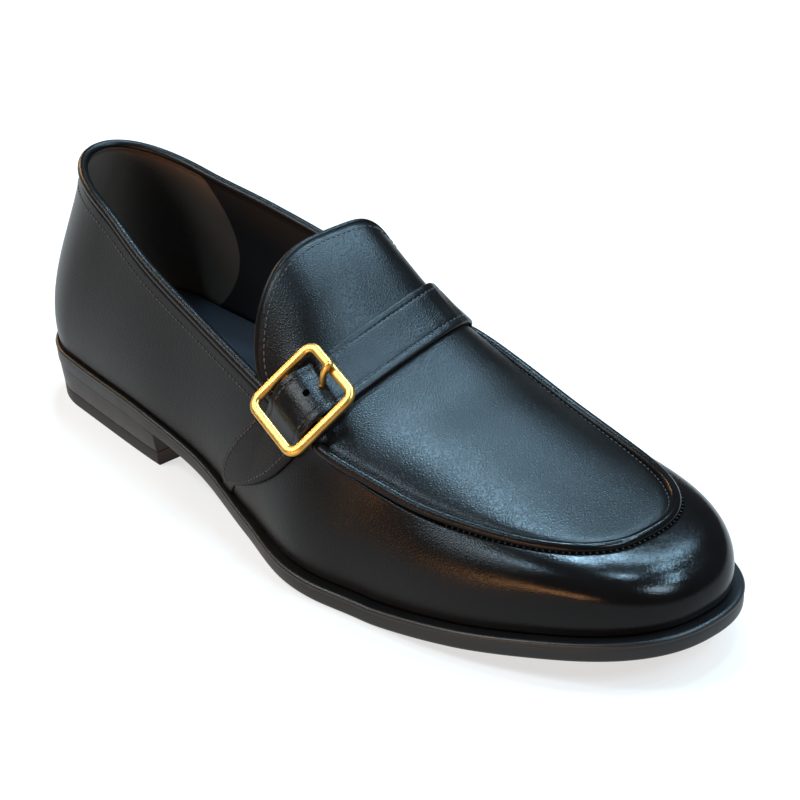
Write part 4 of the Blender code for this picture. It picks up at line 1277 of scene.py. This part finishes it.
def make_heel():
    """The stacked heel block and the walking layer below it."""
    stack = heel_piece("heel_block", ((1.5, 0.0, 0.0), (1.22, 0.0, 0.08), (1.12, 0.0, 0.3), (0.7, 0.5, 0.0),
                                      (0.28, 1.0, -0.3), (0.32, 1.0, -0.08), (0.6, 1.0, 0.0)),
                       lambda x: (np.full_like(x, TOP_PIECE + 0.15), tread_z(x) - 0.1))
    lift = heel_piece("heel_lift", ((2.2, 0.0, 0.0), (1.9, 0.0, 0.0), (1.5, 0.0, 0.15), (1.3, 0.0, 0.6),
                                    (1.18, 1.0, -0.3), (1.24, 1.0, -0.08), (1.5, 1.0, 0.0)),
                      lambda x: (np.zeros_like(x), np.full_like(x, TOP_PIECE)))
    return stack, lift


def make_insole():
    """The sock on its board, with a soft edge."""
    base = sole_ring(0.0)
    level = tread_z(base[:, 0]) + SOLE_THICK + GAP
    rings = []
    for inset, rise in ((2.5, 0.0), (2.5, 1.5), (2.7, 2.1), (3.3, 2.45), (4.4, 2.5)):
        rings.append(np.column_stack((sole_ring(np.full(len(base), -inset)), level + rise)))
    return ring_piece("sock", rings, (0.0, 0.5), (0.0, 0.2, 0.4, 0.6, 0.8))


# Stage, light and camera
def make_floor():
    """A plain pale floor that glows a little, as in a light tent."""
    deselect()
    bpy.ops.mesh.primitive_plane_add(size=FLOOR_SIZE)
    floor = bpy.context.object
    floor.name = "floor"
    material, _, shader = new_material("pale_floor")
    shader.inputs["Base Color"].default_value = linear("#7c7a78")
    shader.inputs["Roughness"].default_value = 0.9
    shader.inputs["Emission Color"].default_value = linear("#ffffff")
    shader.inputs["Emission Strength"].default_value = 0.7
    floor.data.materials.append(material)


def area_light(name, place, target, size, power, colour):
    """A round lamp, or an oblong one where size has two values; places are last millimetres."""
    oblong = isinstance(size, tuple)
    data = bpy.data.lights.new(name, "AREA")
    data.shape = "RECTANGLE" if oblong else "DISK"
    data.size = size[0] if oblong else size
    if oblong:
        data.size_y = size[1]
    data.energy = power
    data.color = linear(colour)[:3]
    lamp = bpy.data.objects.new(name, data)
    bpy.context.scene.collection.objects.link(lamp)
    lamp.location = in_frame(place)
    aim = Vector(in_frame(place) - in_frame(target))
    lamp.rotation_euler = aim.to_track_quat("Z", "Y").to_euler()


def make_lights():
    """Rows of cool ceiling lamps, mostly on the inner side, with soft cards and low warm glows."""
    world = bpy.data.worlds.new("shop")
    world.use_nodes = True
    background = world.node_tree.nodes["Background"]
    background.inputs["Color"].default_value = linear("#d6cdc4")
    background.inputs["Strength"].default_value = 0.15
    bpy.context.scene.world = world
    for k, (x, y, power) in enumerate(CEILING_LAMPS):
        area_light(f"ceiling_lamp_{k + 1}", (x, y, CEILING), LAMP_AIM, LAMP_SIZE, power, "#b4dcf4")
    for name, card in CARDS.items():
        area_light(name, *card)
    bpy.context.scene.view_settings.view_transform = "Standard"
    bpy.context.scene.view_settings.gamma = 0.85


def make_camera():
    """The photograph's camera by its place round the shoe, aimed so that the shoe fills the frame."""
    bearing, rise, roll = (math.radians(a) for a in CAMERA_TURN)
    pan, tilt = (math.radians(a) for a in CAMERA_AIM)
    back = Vector((math.sin(bearing) * math.cos(rise), -math.cos(bearing) * math.cos(rise), math.sin(rise)))
    right = (-back).cross(Vector((0.0, 0.0, 1.0))).normalized()
    up = right.cross(-back)
    turn = Matrix((right, up, back)).transposed().to_4x4()
    for angle, axis in ((pan, "Y"), (tilt, "X"), (-roll, "Z")):
        turn = turn @ Matrix.Rotation(angle, 4, axis)
    place = Vector(in_frame(np.array(CAMERA_MIDDLE) + np.array(back) * CAMERA_DISTANCE))
    data = bpy.data.cameras.new("camera")
    data.sensor_width = SENSOR
    data.lens = LENS
    camera = bpy.data.objects.new("camera", data)
    camera.matrix_world = Matrix.Translation(place) @ turn
    bpy.context.scene.collection.objects.link(camera)
    bpy.context.scene.camera = camera


def main():
    """Makes every piece of the shoe, then the stage, the light and the camera."""
    smooth_calf = black_calf("black_calf_polished", 0.85, 0.03, 0.33, 1.0, 0.21)
    grain_calf = black_calf("black_calf_pebbled", 0.9, 0.036, 0.34, 0.0, 0.27)
    tab_calf = black_calf("black_calf_matte", 0.9, 0.06, 0.5, 0.0, 0.25)
    edge = waxed_edge()
    brass = polished_brass()

    wall, seam, seam_normals = make_wall()
    dress(wall, smooth_calf, "black_calf", "upper")
    paint(wall, "inside", lining_leather())
    plug, sheet, plug_normals = make_plug()
    dress(plug, grain_calf, "black_calf")
    dress(make_bead(sheet, plug_normals), smooth_calf, "black_calf")
    dress(make_tongue_edge(sheet, plug_normals), smooth_calf, "black_calf")
    dress(make_back_strip(), smooth_calf, "black_calf")
    for side in SIDES:
        dress(make_side_strip(side), smooth_calf, "black_calf")

    axes = buckle_axes()
    strap, grid, normals, lift, offsets = make_strap(axes)
    dress(strap, grain_calf, "black_calf", "strap")
    dress(make_buckle(axes), brass, "gold_brass", "buckle_frame")
    dress(make_prong(axes), brass, "gold_brass", "buckle_prong")
    dress(make_tab(), tab_calf, "black_calf", "buckle_tab")
    # The punched hole is a disc of painted shade laid on the strap, not a cut.
    dress(make_hole_shade_disc(grid, normals, lift, axes), pit_shadow(), "black_calf")

    columns = plug_columns()
    beside = [k for k, (side, v) in enumerate(columns) if v > BEAD_START[side] + BEAD_TAPER]
    off = plug_normals[beside, GROOVE]
    groove = sheet[beside, GROOVE] + off * (PLUG_EDGE[GROOVE][1] + THREAD_OFF)
    rows = [topline_row(), tongue_row(), tab_row(), (groove, off)]
    rows += strap_rows(grid, normals, lift, offsets)
    dress(make_stitches("stitches", rows, STITCH_SIZE, STITCH_PITCH), waxed_thread(), "black_calf")
    toe = [k + REAR_RIBS for k, (_, v) in enumerate(columns) if v > GATHER_FROM]
    gathers = make_stitches("gather_stitches", [(seam[toe], seam_normals[toe])], GATHER_SIZE, GATHER_PITCH,
                            crossed=True)
    dress(gathers, tab_calf, "black_calf")

    dress(make_outsole(), edge, "sole_edge", "outsole")
    stack, top_piece = make_heel()
    dress(stack, edge, "sole_edge", "heel_stack")
    dress(top_piece, heel_rubber(), "heel_rubber", "heel_top_piece")
    dress(make_insole(), sock_leather(), "sock_leather", "insole")
    make_floor()
    make_lights()
    make_camera()


main()
bpy.context.view_layer.update()
